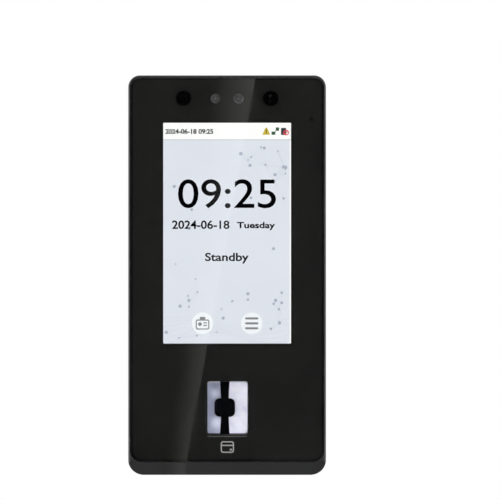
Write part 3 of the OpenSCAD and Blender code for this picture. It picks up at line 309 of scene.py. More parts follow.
# %% One maker for all finishes
def linear(red, green, blue):
    """Screen colour from 0 to 255 as linear light: c / 12.92 near black, and elsewhere
    ((c + 0.055) / 1.055) ^ 2.4."""
    c = np.array([red, green, blue]) / 255
    return tuple(np.where(c <= 0.04045, c / 12.92, ((c + 0.055) / 1.055) ** 2.4)) + (1,)


def pattern(tree, size, stretch=(1, 1, 1), detail=3.0):
    """Noise whose lumps are about size millimetres, stretched along an axis by its factor."""
    place, mapping = node(tree, "TexCoord"), node(tree, "Mapping")
    mapping.inputs["Scale"].default_value = [1 / s for s in stretch]
    noise = node(tree, "TexNoise", Scale=1 / (size * MM), Detail=detail)
    tree.links.new(place.outputs["Object"], mapping.inputs["Vector"])
    tree.links.new(mapping.outputs[0], noise.inputs["Vector"])
    return noise.outputs[0]


def between(tree, source, low, high):
    """The noise's middle range, where most of its values lie, spread from low to high."""
    spread = node(tree, "MapRange", _1=0.3, _2=0.7, _3=low, _4=high)
    tree.links.new(source, spread.inputs[0])
    return spread.outputs[0]


def mottled(tree, colour, share, size, stretch, target, limit=1.0):
    """Lets the target socket's colour drift by a share, down to c * (1 - share) and up to
    c * (1 + share) but not over the limit. A colour that doesn't drift is set on the socket."""
    if not share:
        target.default_value = list(colour[:3]) + [1]
        return
    tone = tree.nodes.new("ShaderNodeMix")
    tone.data_type = "RGBA"
    tone.inputs[6].default_value = [c * (1 - share) for c in colour[:3]] + [1]
    tone.inputs[7].default_value = [min(limit, c * (1 + share)) for c in colour[:3]] + [1]
    tree.links.new(between(tree, pattern(tree, size, stretch), 0, 1), tone.inputs[0])
    tree.links.new(tone.outputs[2], target)


def finish(name, colour, rough, metal=0.0, shade=0.1, patch=6.0, polish=0.04, grain=0.3,
           lift=0.004, stretch=(1, 1, 1), **sockets):
    """A Principled material: colour and roughness drift by shade and polish over patches of patch
    millimetres, and a grain of grain millimetres stands lift millimetres proud as bump."""
    material = bpy.data.materials.new(name)
    material.use_nodes = True
    tree = material.node_tree
    shader = tree.nodes["Principled BSDF"]
    shader.inputs["Metallic"].default_value = metal
    for key, value in sockets.items():
        shader.inputs[key.replace("_", " ")].default_value = value
    mottled(tree, colour, shade, patch, stretch, shader.inputs["Base Color"])
    gloss = between(tree, pattern(tree, patch / 3, stretch), rough - polish, rough + polish)
    tree.links.new(gloss, shader.inputs["Roughness"])
    if lift:
        bump = node(tree, "Bump", Strength=1.0, Distance=lift * MM)
        tree.links.new(pattern(tree, grain, stretch, detail=2), bump.inputs["Height"])
        tree.links.new(bump.outputs[0], shader.inputs["Normal"])
    return material


def dress(material, *names):
    """Gives CAD nodes one finish on every face."""
    for name in names:
        mesh = nodes[name].data
        mesh.materials.clear()
        mesh.materials.append(material)
    print(material.name, "on", *names)


print("screen grey 27 is", round(linear(27, 27, 27)[0], 4), "linear")

# %% [markdown]
# ## Housing
# The front frame is satin moulded plastic, a little glossier than the rear cover, which has the
# coarser grain that hides scratches. Both are nearly black. The frame's thin lip round the glass
# reads as pale grey in the light, because its bevel turns towards the side lamps.

# %% Housing finishes
frame_plastic = finish("frame_plastic", linear(43, 43, 44), 0.42, shade=0.06, patch=9,
                       grain=0.22, lift=0.003, Coat_Weight=0.5, Coat_Roughness=0.06)
frame_worn = finish("frame_worn", linear(58, 58, 59), 0.34, shade=0.12, patch=4, lift=0.003)
cover_plastic = finish("cover_plastic", linear(44, 44, 46), 0.55, shade=0.08, patch=12,
                       grain=0.4, lift=0.012)
cover_worn = finish("cover_worn", linear(60, 60, 62), 0.42, shade=0.14, patch=3, grain=0.4, lift=0.006)
seal_rubber = finish("seal_rubber", linear(26, 26, 27), 0.7, grain=0.15)
boot_rubber = finish("boot_rubber", linear(34, 34, 34), 0.65, grain=0.2)
dress(seal_rubber, "case_seal", "sensor_seal", "speaker_gasket")
dress(boot_rubber, "microphone_boot")

# %% [markdown]
# ## Metals
# The wall plate is galvanised sheet steel: zinc crystals of a few millimetres over fine lines along
# the direction of rolling. The crystals are the cells of a Voronoi pattern, and stretching the noise
# 30 times along one axis gives the lines. The lock screw is black oxide steel.

# %% Metal finishes
def spangle(material, size, amount):
    """Zinc crystals: each cell of a Voronoi pattern of that size darkens the colour by its own share
    of the amount."""
    tree = material.node_tree
    place, cells = node(tree, "TexCoord"), node(tree, "TexVoronoi", Scale=1 / (size * MM))
    parts, joined = node(tree, "SeparateColor"), node(tree, "CombineColor")
    shader = tree.nodes["Principled BSDF"]
    tone = shader.inputs["Base Color"].links[0].from_socket
    mixed = tree.nodes.new("ShaderNodeMix")
    mixed.data_type, mixed.blend_type = "RGBA", "MULTIPLY"
    mixed.inputs[0].default_value = 1.0
    shade = node(tree, "MapRange", _3=1.0 - amount, _4=1.0)
    wire(tree,
         (place.outputs["Object"], cells.inputs["Vector"]),
         (cells.outputs["Color"], parts.inputs[0]),
         (parts.outputs[0], shade.inputs[0]),
         *((shade.outputs[0], channel) for channel in joined.inputs[:3]),
         (tone, mixed.inputs[6]),
         (joined.outputs[0], mixed.inputs[7]),
         (mixed.outputs[2], shader.inputs["Base Color"]))


CRYSTAL, CRYSTAL_SHADE, ROLLED = 5.0, 0.22, 30
plate_steel = finish("plate_steel", (0.50, 0.51, 0.52), 0.40, metal=1.0, shade=0.08, patch=1.0,
                     grain=0.25, lift=0.002, stretch=(1, 1, ROLLED))
spangle(plate_steel, CRYSTAL, CRYSTAL_SHADE)
cut_steel = finish("cut_steel", (0.62, 0.62, 0.62), 0.3, metal=1.0, shade=0.15, patch=0.8,
                   grain=0.2, lift=0.003)
shield_tin = finish("shield_tin", (0.66, 0.66, 0.67), 0.3, metal=1.0, shade=0.08, patch=1,
                    grain=0.2, lift=0.002, stretch=(ROLLED, 1, 1))
dark_screw = finish("dark_screw", (0.05, 0.05, 0.055), 0.38, metal=0.8, patch=1.5, lift=0.002)
bright_screw = finish("bright_screw", (0.55, 0.55, 0.56), 0.3, metal=1.0, shade=0.06, patch=1.5,
                      lift=0.0005)
can_silver = finish("can_silver", (0.72, 0.72, 0.74), 0.25, metal=1.0, patch=2, lift=0.001)
cell_steel = finish("cell_steel", (0.75, 0.75, 0.75), 0.15, metal=1.0, patch=3, lift=0.001)
contact_gold = finish("contact_gold", (0.83, 0.6, 0.24), 0.22, metal=1.0, patch=1, lift=0.0)
dress(shield_tin, "processor_shield", "usb_port", "backlight")
dress(bright_screw, "board_screws")
dress(can_silver, "capacitors")
dress(cell_steel, "coin_cell")
dress(contact_gold, "jack_contacts")

# %% [markdown]
# ## Boards and electronics
# Solder mask is a glossy green lacquer over copper, so the copper shows as paler, slightly raised
# patches. Amber ribbons are polyimide film. The chips are dull black epoxy.

# %% Electronics finishes
board_green = finish("board_green", (0.012, 0.10, 0.035), 0.3, shade=0.25, patch=1.6,
                     grain=0.6, lift=0.02)
ribbon = finish("ribbon", (0.42, 0.17, 0.03), 0.32, shade=0.2, patch=1.2, stretch=(1, 20, 20))
chip_black = finish("chip_black", linear(30, 30, 31), 0.5, grain=0.1, lift=0.003)
relay_blue = finish("relay_blue", (0.015, 0.09, 0.4), 0.35, grain=0.2, lift=0.002)
terminal_green = finish("terminal_green", (0.015, 0.22, 0.07), 0.45, grain=0.2, lift=0.003)
terminal_worn = finish("terminal_worn", (0.05, 0.32, 0.13), 0.4, shade=0.12, patch=1,
                       grain=0.2, lift=0.003)
switch_grey = finish("switch_grey", linear(62, 62, 64), 0.5, grain=0.2, lift=0.003)
plunger_white = finish("plunger_white", linear(222, 221, 216), 0.4, shade=0.04, grain=0.2,
                       lift=0.002)
speaker_dark = finish("speaker_dark", linear(56, 56, 57), 0.55, grain=0.2, lift=0.003)
ferrite = finish("ferrite", linear(64, 64, 66), 0.6, grain=0.5, lift=0.003)
tape_foam = finish("tape_foam", linear(72, 72, 72), 0.8, grain=0.2, lift=0.01)
dress(board_green, "main_board", "camera_board", "lower_board", "card_antenna", "sensor_board")
dress(ribbon, "display_flex", "touch_flex", "camera_flex", "sensor_flex", "lower_flex")
dress(chip_black, "board_chips", "cell_holder")
dress(relay_blue, "relay")
dress(switch_grey, "tamper_switch", "reset_switch")
dress(plunger_white, "tamper_plunger", "reset_button", "usb_tongue")
dress(speaker_dark, "speaker")
dress(ferrite, "ferrite_sheet")
dress(tape_foam, "glass_tape")

# %% [markdown]
# ## Glass and what shows through it
# The cover is clear glass over black ink. The ink has windows for the picture, the cameras, the
# lights and the fingerprint prism, so the black is truly behind the glass and the windows have
# depth. The glass is a little rough in places, from handling.

# %% Glass, ink and optics finishes
def clear_glass(name, colour, patch, polish):
    """Glass of one colour all through. Only its gloss drifts, over patches of that size."""
    return finish(name, colour, 0.02, shade=0.0, patch=patch, polish=polish, lift=0.0,
                  Transmission_Weight=1.0, IOR=1.5)


panel_glass = clear_glass("panel_glass", (0.98, 0.99, 0.99), 25, 0.012)
touch_glass = clear_glass("touch_glass", (0.99, 0.99, 0.99), 25, 0.01)
sensor_glass = clear_glass("sensor_glass", (0.95, 0.96, 0.99), 10, 0.01)
mask_ink = finish("mask_ink", linear(25, 25, 22), 0.6, shade=0.05, patch=20, lift=0.0,
                  Specular_IOR_Level=0.2)
camera_black = finish("camera_black", linear(0.6, 0.6, 0.8), 0.5, shade=0.3, patch=2, lift=0.001,
                      Specular_IOR_Level=0.02)
led_resin = finish("led_resin", (0.165, 0.165, 0.165), 0.4, shade=0.06, patch=0.8, lift=0.0,
                   Specular_IOR_Level=0.15)
aperture_black = finish("aperture_black", linear(11, 12, 15), 0.5, patch=2, lift=0.002,
                        Specular_IOR_Level=0.04)
housing_black = finish("housing_black", linear(30, 30, 31), 0.5, grain=0.25, lift=0.003)
dress(touch_glass, "touch_sensor")
dress(sensor_glass, "sensor_window")
dress(mask_ink, "black_mask")
dress(camera_black, "colour_camera", "infrared_camera", "camera_gaskets")
dress(aperture_black, "sensor_aperture")
dress(housing_black, "sensor_housing", "display_panel")

# %% [markdown]
# The reflectors glow by emission, which is painted light: a broad even glow on the right cheek
# stands in for the lamps' light on it, and two small soft spots on the left one stand in for bright
# reflections. Each glow falls off smoothly from its middle. The left cheek's silver is darker than
# the right's, which is painted shade.

# %% Sensor reflectors
def painted_glow_spot(tree, x, z, reach, amount):
    """Painted light that falls smoothly from amount at (x, z) to nothing at the reach, in millimetres."""
    place = node(tree, "TexCoord")
    flat = vector_math(tree, "MULTIPLY", 1, 1)
    apart = vector_math(tree, "DISTANCE", x * MM, z * MM)
    fall = node(tree, "MapRange", _1=0.0, _2=reach * MM, _3=amount, _4=0.0)
    fall.interpolation_type = "SMOOTHSTEP"
    wire(tree,
         (place.outputs["Object"], flat.inputs[0]),
         (flat.outputs[0], apart.inputs[0]),
         (apart.outputs["Value"], fall.inputs[0]))
    return fall.outputs[0]


def reflector(name, colour, spots):
    """A satin finish with painted light: it glows by emission as bright as the brightest of its spots."""
    material = finish(name, colour, 0.3, shade=0.1, patch=2.6, lift=0.003)
    tree = material.node_tree
    shader = tree.nodes["Principled BSDF"]
    total = 0.0
    for spot in spots:
        total = math_node(tree, "MAXIMUM", total, painted_glow_spot(tree, *spot))
    shader.inputs["Emission Color"].default_value = (0.92, 0.93, 1.0, 1)
    tree.links.new(total, shader.inputs["Emission Strength"])
    return material


# Each spot of painted glow is its x, z, reach and amount.
RIGHT_PAINTED_GLOW = ((6.5, -50.0, 14.0, 0.37), (6.5, -63.0, 14.0, 0.37))
LEFT_PAINTED_HIGHLIGHTS = ((-5.2, -50.2, 3.4, 0.30), (-4.2, -62.6, 4.2, 0.42))
# The paler right silver and the darker left silver are lit and shaded copies of one finish: painted light
# and painted shade.
right_reflector_painted_lit = reflector("right_reflector_painted_lit", (0.82, 0.80, 0.88), RIGHT_PAINTED_GLOW)
left_reflector_painted_shade = reflector("left_reflector_painted_shade", (0.45, 0.47, 0.60), LEFT_PAINTED_HIGHLIGHTS)
dust_mesh = finish("dust_mesh", linear(2, 2, 2), 0.7, shade=0.4, patch=0.2, grain=0.1, lift=0.02,
                   Specular_IOR_Level=0.05)
dress(dust_mesh, "microphone")

# %% [markdown]
# ## Flat shapes
# The picture, the printed mark and the icons are flat, and each is a thin closed plate: a front
# face, the same face behind it, and a wall round every edge. They could be drawn by an image, but
# plates stay sharp at any size. An outline is an array of points, worked out by a formula.

# %% Outlines
def rounded_box(x, z, w, h, r, steps=8):
    """Box about (x, z): a quarter circle of radius r in each corner, anticlockwise from the front."""
    turns = np.linspace(0, np.pi / 2, steps)
    arcs = []
    for k, (right, up) in enumerate(((1, 1), (-1, 1), (-1, -1), (1, -1))):
        t = turns + k * np.pi / 2
        arcs.append(np.column_stack((x + right * (w / 2 - r) + r * np.cos(t),
                                     z + up * (h / 2 - r) + r * np.sin(t))))
    return np.concatenate(arcs)


def circle(x, z, r, steps=48):
    """Points at radius r about (x, z)."""
    turns = np.linspace(0, 2 * np.pi, steps, endpoint=False)
    return np.column_stack((x + r * np.cos(turns), z + r * np.sin(turns)))


def stroke(a, b, width):
    """A straight bar from a to b: each end moved sideways by half the width, along the normal."""
    a, b = np.array(a, float), np.array(b, float)
    along = (b - a) / np.hypot(*(b - a))
    aside = np.array([-along[1], along[0]]) * width / 2
    return np.array([a - aside, b - aside, b + aside, a + aside])


def turned(loop, clockwise=False):
    """The loop in the wanted sense. The signed area, half the sum of x1*z2 - x2*z1, tells which
    sense it has."""
    x, z = loop[:, 0], loop[:, 1]
    area = np.sum(x * np.roll(z, -1) - np.roll(x, -1) * z) / 2
    return loop[::-1] if (area < 0) != clockwise else loop


print("a circle has", len(circle(0, 0, 1)), "points")


# %% Plates
def plates(shapes, near, far):
    """Vertices and faces of closed plates between two distances from the wall. A shape is a list of
    an outline and its holes."""
    points, faces = [], []
    for shape in shapes:
        loops = [turned(loop, clockwise=i > 0) for i, loop in enumerate(shape)]
        flat = np.concatenate(loops)
        start, count = sum(len(p) for p in points), len(flat)
        points += [np.column_stack((flat[:, 0], np.full(count, -far), flat[:, 1])),
                   np.column_stack((flat[:, 0], np.full(count, -near), flat[:, 1]))]
        for tri in tessellate_polygon([[Vector((x, z, 0)) for x, z in loop] for loop in loops]):
            a, b, c = (flat[i] for i in tri)
            if (b[0] - a[0]) * (c[1] - a[1]) < (b[1] - a[1]) * (c[0] - a[0]):
                tri = tri[::-1]
            faces += [[start + i for i in tri], [start + count + i for i in tri[::-1]]]
        first = start
        for loop in loops:
            here = np.arange(len(loop)) + first
            after = np.roll(here, -1)
            faces += np.column_stack((here, here + count, after + count, after)).tolist()
            first += len(loop)
    return np.concatenate(points) * MM, faces


print("a plate on a box has", len(plates([[rounded_box(0, 0, 2, 2, 0.5)]], 0, 1)[1]), "faces")


# %% Pieces
# Points nearer than the first are one and edges shorter than the second go, both in metres. A face
# lies parallel to the wall when its normal's y is over the third.
MERGED, SLIVER, PARALLEL = 1e-7, 1e-8, 0.99999


def piece(name, points, faces, material, body="terminal", slot=None, weld=False, smooth=None):
    """A mesh object at the origin, dressed and riding on its body. weld merges seams and poles and
    turns the faces outwards. smooth shades as round every edge that bends less than that many degrees,
    apart from those of faces parallel to the wall: a flat mirror has to stay flat."""
    mesh = bpy.data.meshes.new(name)
    mesh.from_pydata(np.asarray(points).tolist(), [], [list(f) for f in faces])
    if weld:
        work = bmesh.new()
        work.from_mesh(mesh)
        bmesh.ops.remove_doubles(work, verts=work.verts, dist=MERGED)
        bmesh.ops.dissolve_degenerate(work, edges=work.edges, dist=SLIVER)
        bmesh.ops.recalc_face_normals(work, faces=work.faces)
        work.to_mesh(mesh)
        work.free()
    if smooth:
        mesh.set_sharp_from_angle(angle=math.radians(smooth))
        normals = np.zeros(len(mesh.polygons) * 3)
        mesh.polygons.foreach_get("normal", normals)
        mesh.polygons.foreach_set("use_smooth", np.abs(normals[1::3]) < PARALLEL)
    mesh.materials.append(material)
    made = bpy.data.objects.new(name, mesh)
    bpy.context.scene.collection.objects.link(made)
    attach(made, body)
    print(name, len(mesh.vertices), "points", len(mesh.polygons), "faces")
    return made


def flat_piece(name, shapes, layer, material, slot="display"):
    """One piece of plates in a layer, given as its two distances from the wall."""
    return piece(name, *plates(shapes, *layer), material, slot=slot)


# %% [markdown]
# ## Rounded plates
# The edge of a cover glass is ground round, and so is the lip of each hole in it. The plate's wall
# is a grid: one parameter runs along the outline, the other through a quarter circle from the wall
# to the front face. Each step of the quarter circle draws the outline in a little further.

# %% Rounded plates
def drawn_in(loop, by):
    """The loop moved by a distance to its left: every point moves along the mean of the normals of
    its two edges, further where they differ more."""
    edge = np.roll(loop, -1, 0) - loop
    normal = np.column_stack((-edge[:, 1], edge[:, 0])) / np.hypot(*edge.T)[:, None]
    mean = normal + np.roll(normal, 1, 0)
    return loop + by * 2 * mean / np.sum(mean ** 2, 1)[:, None]


def caps(loops, first, reverse):
    """Triangles over flat loops whose points are numbered from first on. They turn anticlockwise from
    the front, or clockwise if reverse is set."""
    flat = np.concatenate(loops)
    found = []
    for a, b, c in tessellate_polygon([[Vector((x, z, 0)) for x, z in loop] for loop in loops]):
        p, q, r = flat[a], flat[b], flat[c]
        ahead = (q[0] - p[0]) * (r[1] - p[1]) > (r[0] - p[0]) * (q[1] - p[1])
        found.append([first + i for i in ((a, b, c) if ahead != reverse else (c, b, a))])
    return found


def rounded_plate(loops, near, far, lips, flat_edge=0.0, steps=10):
    """A closed plate between two distances from the wall. The quarter circle of radius lip draws the
    outline in by lip * (1 - cos t) at the distance far - lip * (1 - sin t). The first loop is the
    outline and the others are holes, each with its own lip. A share flat_edge of the outline's own
    quarter circle gives way to the straight line between its two ends."""
    loops = [turned(loop, clockwise=i > 0) for i, loop in enumerate(loops)]
    t = np.linspace(0, np.pi / 2, steps)
    rings = []
    for i, lip in enumerate(lips):
        ease = flat_edge if i == 0 else 0.0
        inset = lip * ((1 - ease) * (1 - np.cos(t)) + ease * t * 2 / np.pi)
        d = far - lip * ((1 - ease) * (1 - np.sin(t)) + ease * (1 - t * 2 / np.pi))
        rings.append([(0.0, near)] + list(zip(inset, d)))
    count = sum(len(loop) for loop in loops)
    points, faces = [], []
    for k in range(steps + 1):
        for loop, ring in zip(loops, rings):
            inset, d = ring[k]
            flat = drawn_in(loop, inset)
            points.append(np.column_stack((flat[:, 0], np.full(len(flat), -d), flat[:, 1])))
    first = 0
    for loop in loops:
        here = first + np.arange(len(loop))
        after = np.roll(here, -1)
        for k in range(steps):
            faces += np.column_stack((here + k * count, after + k * count, after + (k + 1) * count,
                                      here + (k + 1) * count)).tolist()
        first += len(loop)
    front = [drawn_in(loop, lip) for loop, lip in zip(loops, lips)]
    faces += caps(loops, 0, True) + caps(front, steps * count, False)
    return np.concatenate(points) * MM, faces


def corner(x, z, r, start, stop, steps=12):
    """An arc of radius r about (x, z) between two angles in degrees."""
    turns = np.radians(np.linspace(start, stop, steps))
    return np.column_stack((x + r * np.cos(turns), z + r * np.sin(turns)))


def upright_outline(x, z, low_r, high_r, steps=16):
    """A box with its own lower and upper corner radii, anticlockwise from the lower right."""
    return np.concatenate((
        corner(x[1] - low_r, z[0] + low_r, low_r, -90, 0, steps),
        corner(x[1] - high_r, z[1] - high_r, high_r, 0, 90, steps),
        corner(x[0] + high_r, z[1] - high_r, high_r, 90, 180, steps),
        corner(x[0] + low_r, z[0] + low_r, low_r, 180, 270, steps)))


print("a corner has", len(corner(0, 0, 1, 0, 90)), "points")

# %% [markdown]
# ## Cover glass
# The glass covers the whole front. Its edge is round, and its opening for the fingerprint window is
# a little taller than the window, so a finger finds the lower lip. The glass lies two hundredths of
# a millimetre in front of the ink: where two faces share one place, a ray can miss either of them.

# %% Cover glass
GLASS_LOW_R, GLASS_HIGH_R = 5.0, 4.3
GLASS_ROUND, LIP_ROUND, HOLE_ROUND, FLAT_EDGE = 0.6, 0.12, 0.02, 0.9
WINDOW_FIT, WINDOW_CORNER, GAP_INSET, GAP_H = 0.1, 1.2, 0.6, 1.1
LEAF = 0.01
MIC, MIC_R = (35.9, 66.4), 0.75


def finger_opening():
    """The window's outline, and below it the narrower gap. They join where the gap's sides meet the
    round corners, which is at the angle acos(distance from the corner's middle / its radius)."""
    left, right = window_x[0] - WINDOW_FIT, window_x[1] + WINDOW_FIT
    low, high = window_z[0] - WINDOW_FIT, window_z[1] + WINDOW_FIT
    r = WINDOW_CORNER + WINDOW_FIT
    gap_r, gap_x, gap_z = WINDOW_CORNER - GAP_INSET, window_x[1] - GAP_INSET, window_z[0] - GAP_H
    meets = math.degrees(math.acos((gap_x - (right - r)) / r))
    return np.concatenate((
        corner(gap_x - gap_r, gap_z + gap_r, gap_r, -90, 0),
        corner(right - r, low + r, r, -meets, 0),
        corner(right - r, high - r, r, 0, 90),
        corner(left + r, high - r, r, 90, 180),
        corner(left + r, low + r, r, 180, 180 + meets),
        corner(gap_r - gap_x, gap_z + gap_r, gap_r, 180, 270)))


glass_outline = upright_outline(glass_x, glass_z, GLASS_LOW_R, GLASS_HIGH_R)
glass_shape = rounded_plate([glass_outline, finger_opening(), circle(*MIC, MIC_R, 24)],
                            mask_d[1] + 2 * LEAF, glass_d[1], (GLASS_ROUND, LIP_ROUND, HOLE_ROUND),
                            flat_edge=FLAT_EDGE)
glass = piece("glass", *glass_shape, panel_glass, slot="panel_glass", smooth=12)
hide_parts("cover_glass")

# %% [markdown]
# ## Borders in the ink
# The ink is printed twice along its edge, so that no light gets round it, and the border is a deeper
# black: print, and painted shade for the dark that the glass's round edge mirrors. Round the
# microphone's hole the glass is cut away, and a near-black ring shows: painted shade for the dark
# inside the hole. Both are plates one leaf thick on the front of the first coat.

# %% Borders in the ink and painted shade
BORDER, MIC_SHADE_RIM, MIC_BORE = (0.25, 1.2), 0.12, 0.45
ink_leaf = (mask_d[1], mask_d[1] + LEAF)


def dull_black(name, level, rough, patch, gloss):
    """A black finish of that level of grey, without grain, whose mirror images are weak."""
    return finish(name, (level,) * 3, rough, shade=0.2, patch=patch, lift=0.0, Specular_IOR_Level=gloss)


# A deeper black along the glass's edge: print, and painted shade for the dark that the round edge mirrors.
print_and_shade_black = dull_black("print_and_shade_black", 0.0012, 0.6, patch=8, gloss=0.1)
border_edges = [drawn_in(turned(glass_outline), inset) for inset in BORDER]
flat_piece("ink_border", [border_edges], ink_leaf, print_and_shade_black, slot="mask_ink")
# A near-black ring round the microphone's bore: painted shade for the dark inside the hole.
hole_shade_black = dull_black("hole_shade_black", 0.0006, 0.8, patch=1, gloss=0.0)
shade_ring_edges = [circle(*MIC, r, 32) for r in (MIC_R + MIC_SHADE_RIM, MIC_BORE)]
flat_piece("microphone_shade_ring", [shade_ring_edges], ink_leaf, hole_shade_black, slot="mask_ink")

# %% [markdown]
# ## Sensor reflectors
# Behind the fingerprint window two silver cheeks lean in from the rim to a dark aperture, and a dark
# spine parts them. Each cheek is a path carried through a profile: the path runs from the spine
# round three sides of a rounded box and back to the spine, and the box shrinks from the window's
# outline to that of the aperture as the cheek goes deeper. On its way the slope bows in by a half
# wave of a sine. The right cheek is paler with an even painted glow, and the left one is darker, as
# painted shade, with two small painted highlights.

# %% Reflector shape
APERTURE_W, APERTURE_H, APERTURE_R, APERTURE_SHIFT = 8.6, 7.8, 2.3, 1.0
SPINE_END, SPINE_NECK = 4.1, 3.3
CHEEK_R, SLOPE_R, RIM_WIDE, BOW, CHEEK_FLOOR = 1.2, 1.0, 0.5, 0.25, 0.15
reflector_x, reflector_d, reflector_z = span("sensor_reflectors")
rim_w, rim_h = reflector_x[1] - reflector_x[0], reflector_z[1] - reflector_z[0]
finger_middle = sum(window_z) / 2


def cheek_path(w, h, r, x, side, steps=60):
    """Points from the top of the spine round one side of a box to the foot of the spine, evenly
    spaced along it. The spine's half width falls evenly from its end to the aperture."""
    reach = (h / 2 - APERTURE_H / 2) / ((window_z[1] - window_z[0]) / 2 - APERTURE_H / 2)
    half = (SPINE_NECK + (SPINE_END - SPINE_NECK) * max(0.0, reach)) / 2
    inner_x, corner_x = half + side * -APERTURE_SHIFT, side * x + w / 2 - r
    bend = np.concatenate((
        [(inner_x, h / 2)],
        corner(corner_x, h / 2 - r, r, 90, 0),
        corner(corner_x, r - h / 2, r, 0, -90),
        [(inner_x, -h / 2)]))
    long = np.concatenate(([0], np.cumsum(np.hypot(*np.diff(bend, axis=0).T))))
    at = np.linspace(0, long[-1], steps)
    return np.column_stack((side * np.interp(at, long, bend[:, 0]),
                            finger_middle + np.interp(at, long, bend[:, 1])))


def cheek(side):
    """A closed wall: the profile goes up the outer wall, over the rim, down the slope and back under.
    Down the slope each measure goes evenly from the rim's to the aperture's, and the bow is added."""
    back_d, front_d = reflector_d
    boxes = [(rim_w, rim_h, CHEEK_R, 0.0, back_d), (rim_w, rim_h, CHEEK_R, 0.0, front_d)]
    slope_w, slope_h = rim_w - RIM_WIDE, rim_h - RIM_WIDE
    for v in np.linspace(0, 1, 14):
        boxes.append((slope_w + (APERTURE_W - rim_w + RIM_WIDE) * v,
                      slope_h + (APERTURE_H - rim_h + RIM_WIDE) * v,
                      SLOPE_R + (APERTURE_R - SLOPE_R) * v,
                      -APERTURE_SHIFT * v,
                      front_d + (back_d + CHEEK_FLOOR - front_d) * v - math.sin(v * math.pi) * BOW))
    boxes.append((APERTURE_W, APERTURE_H, APERTURE_R, -APERTURE_SHIFT, back_d))
    rings = []
    for w, h, r, x, d in boxes:
        path = cheek_path(w, h, r, x, side)
        rings.append(np.column_stack((path[:, 0], np.full(len(path), -d), path[:, 1])))
    grid = np.arange(len(rings) * len(rings[0])).reshape(len(rings), -1)
    below = np.roll(grid, -1, 0)
    faces = np.stack((grid[:, :-1], grid[:, 1:], below[:, 1:], below[:, :-1]), -1).reshape(-1, 4)
    return np.concatenate(rings), faces.tolist() + [grid[:, 0].tolist(), grid[::-1, -1].tolist()]


right_points, right_faces = cheek(1)
left_points, left_faces = cheek(-1)
both = right_faces + [[i + len(right_points) for i in face] for face in left_faces]
cheeks = piece("sensor_cheeks", np.concatenate((right_points, left_points)) * MM, both, right_reflector_painted_lit,
               slot="reflector_silver", weld=True, smooth=40)
# Faces left of the spine get the darker silver, which is painted shade.
cheeks.data.materials.append(left_reflector_painted_shade)
centre_x = np.array([face.center.x for face in cheeks.data.polygons])
cheeks.data.polygons.foreach_set("material_index", (centre_x < -APERTURE_SHIFT * MM).astype(int))
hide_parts("sensor_reflectors")

# %% [markdown]
# The rim of each cheek is polished and catches the light of the lamps as a thin pale line. Over the
# rims lies a near-black border on the back of the window, widest at the left: painted shade for the
# dim left and lower rims. Below the window a narrow pale strip lies on the housing, under the lower
# lip of the glass's opening: a painted highlight for the light on that lip.

# %% Rims, painted shade border and painted lip highlight
RIM_POLISHED, RIM_STEP = 0.35, 0.04
SHADE_BORDER_LEFT, SHADE_BORDER_RIGHT, SHADE_BORDER_LOW, SHADE_BORDER_HIGH, SEEN_R = 0.5, 0.15, 0.35, 0.03, 1.1
# Place and size of the pale strip under the window's lower lip, which is a painted highlight.
HIGHLIGHT_BELOW, HIGHLIGHT_H, HIGHLIGHT_W, HIGHLIGHT_R = 0.9, 0.3, 16.6, 0.12


def rim_path(side, by):
    """The cheek's path on the rim, drawn in by that many millimetres."""
    return cheek_path(rim_w - 2 * by, rim_h - 2 * by, CHEEK_R + by, 0.0, side)


rim_front = reflector_d[1] + RIM_STEP
rims = [[np.concatenate((rim_path(side, 0.0), rim_path(side, RIM_POLISHED)[::-1]))] for side in (1, -1)]
rim_gloss = finish("rim_gloss", (0.86, 0.86, 0.93), 0.2, shade=0.1, patch=2, lift=0.0)
flat_piece("sensor_rims", rims, (reflector_d[1], rim_front), rim_gloss, slot="reflector_silver")
# The near-black border over the rims is painted shade, widest at the left where the rim is dimmest.
seen = rounded_box((SHADE_BORDER_LEFT - SHADE_BORDER_RIGHT) / 2, finger_middle + (SHADE_BORDER_LOW - SHADE_BORDER_HIGH) / 2,
                   rim_w - SHADE_BORDER_LEFT - SHADE_BORDER_RIGHT, rim_h - SHADE_BORDER_LOW - SHADE_BORDER_HIGH, SEEN_R)
flat_piece("finger_shade_border", [[rounded_box(0, finger_middle, rim_w, rim_h, CHEEK_R), seen]],
           (rim_front + LEAF, rim_front + 2 * LEAF), print_and_shade_black, slot="mask_ink")
# A pale grey strip behind the glass: a painted highlight for the light on the lower lip.
lip_highlight_grey = finish("lip_highlight_grey", linear(92, 92, 92), 0.5, shade=0.08, patch=2, lift=0.0)
lip_highlight = rounded_box(0, window_z[0] - HIGHLIGHT_BELOW, HIGHLIGHT_W, HIGHLIGHT_H, HIGHLIGHT_R)
flat_piece("finger_lip_highlight", [[lip_highlight]], (span("sensor_housing")[1][1], mask_d[1]), lip_highlight_grey,
           slot="housing_black")

# %% [markdown]
# ## Round pieces
# Lenses, light cups and the rings on the camera barrels are turned on a lathe: a profile of radius
# against distance from the wall is carried round an axis that points out of the wall. A profile that
# starts and ends on the axis gives a closed piece once its two poles are merged.

# %% Lathe
def round_faces(rows, columns):
    """Faces between each row of points and the next, where the last column meets the first."""
    grid = np.arange(rows * columns).reshape(rows, columns)
    beside = np.roll(grid, -1, 1)
    return np.stack((grid[:-1], beside[:-1], beside[1:], grid[1:]), -1).reshape(-1, 4)


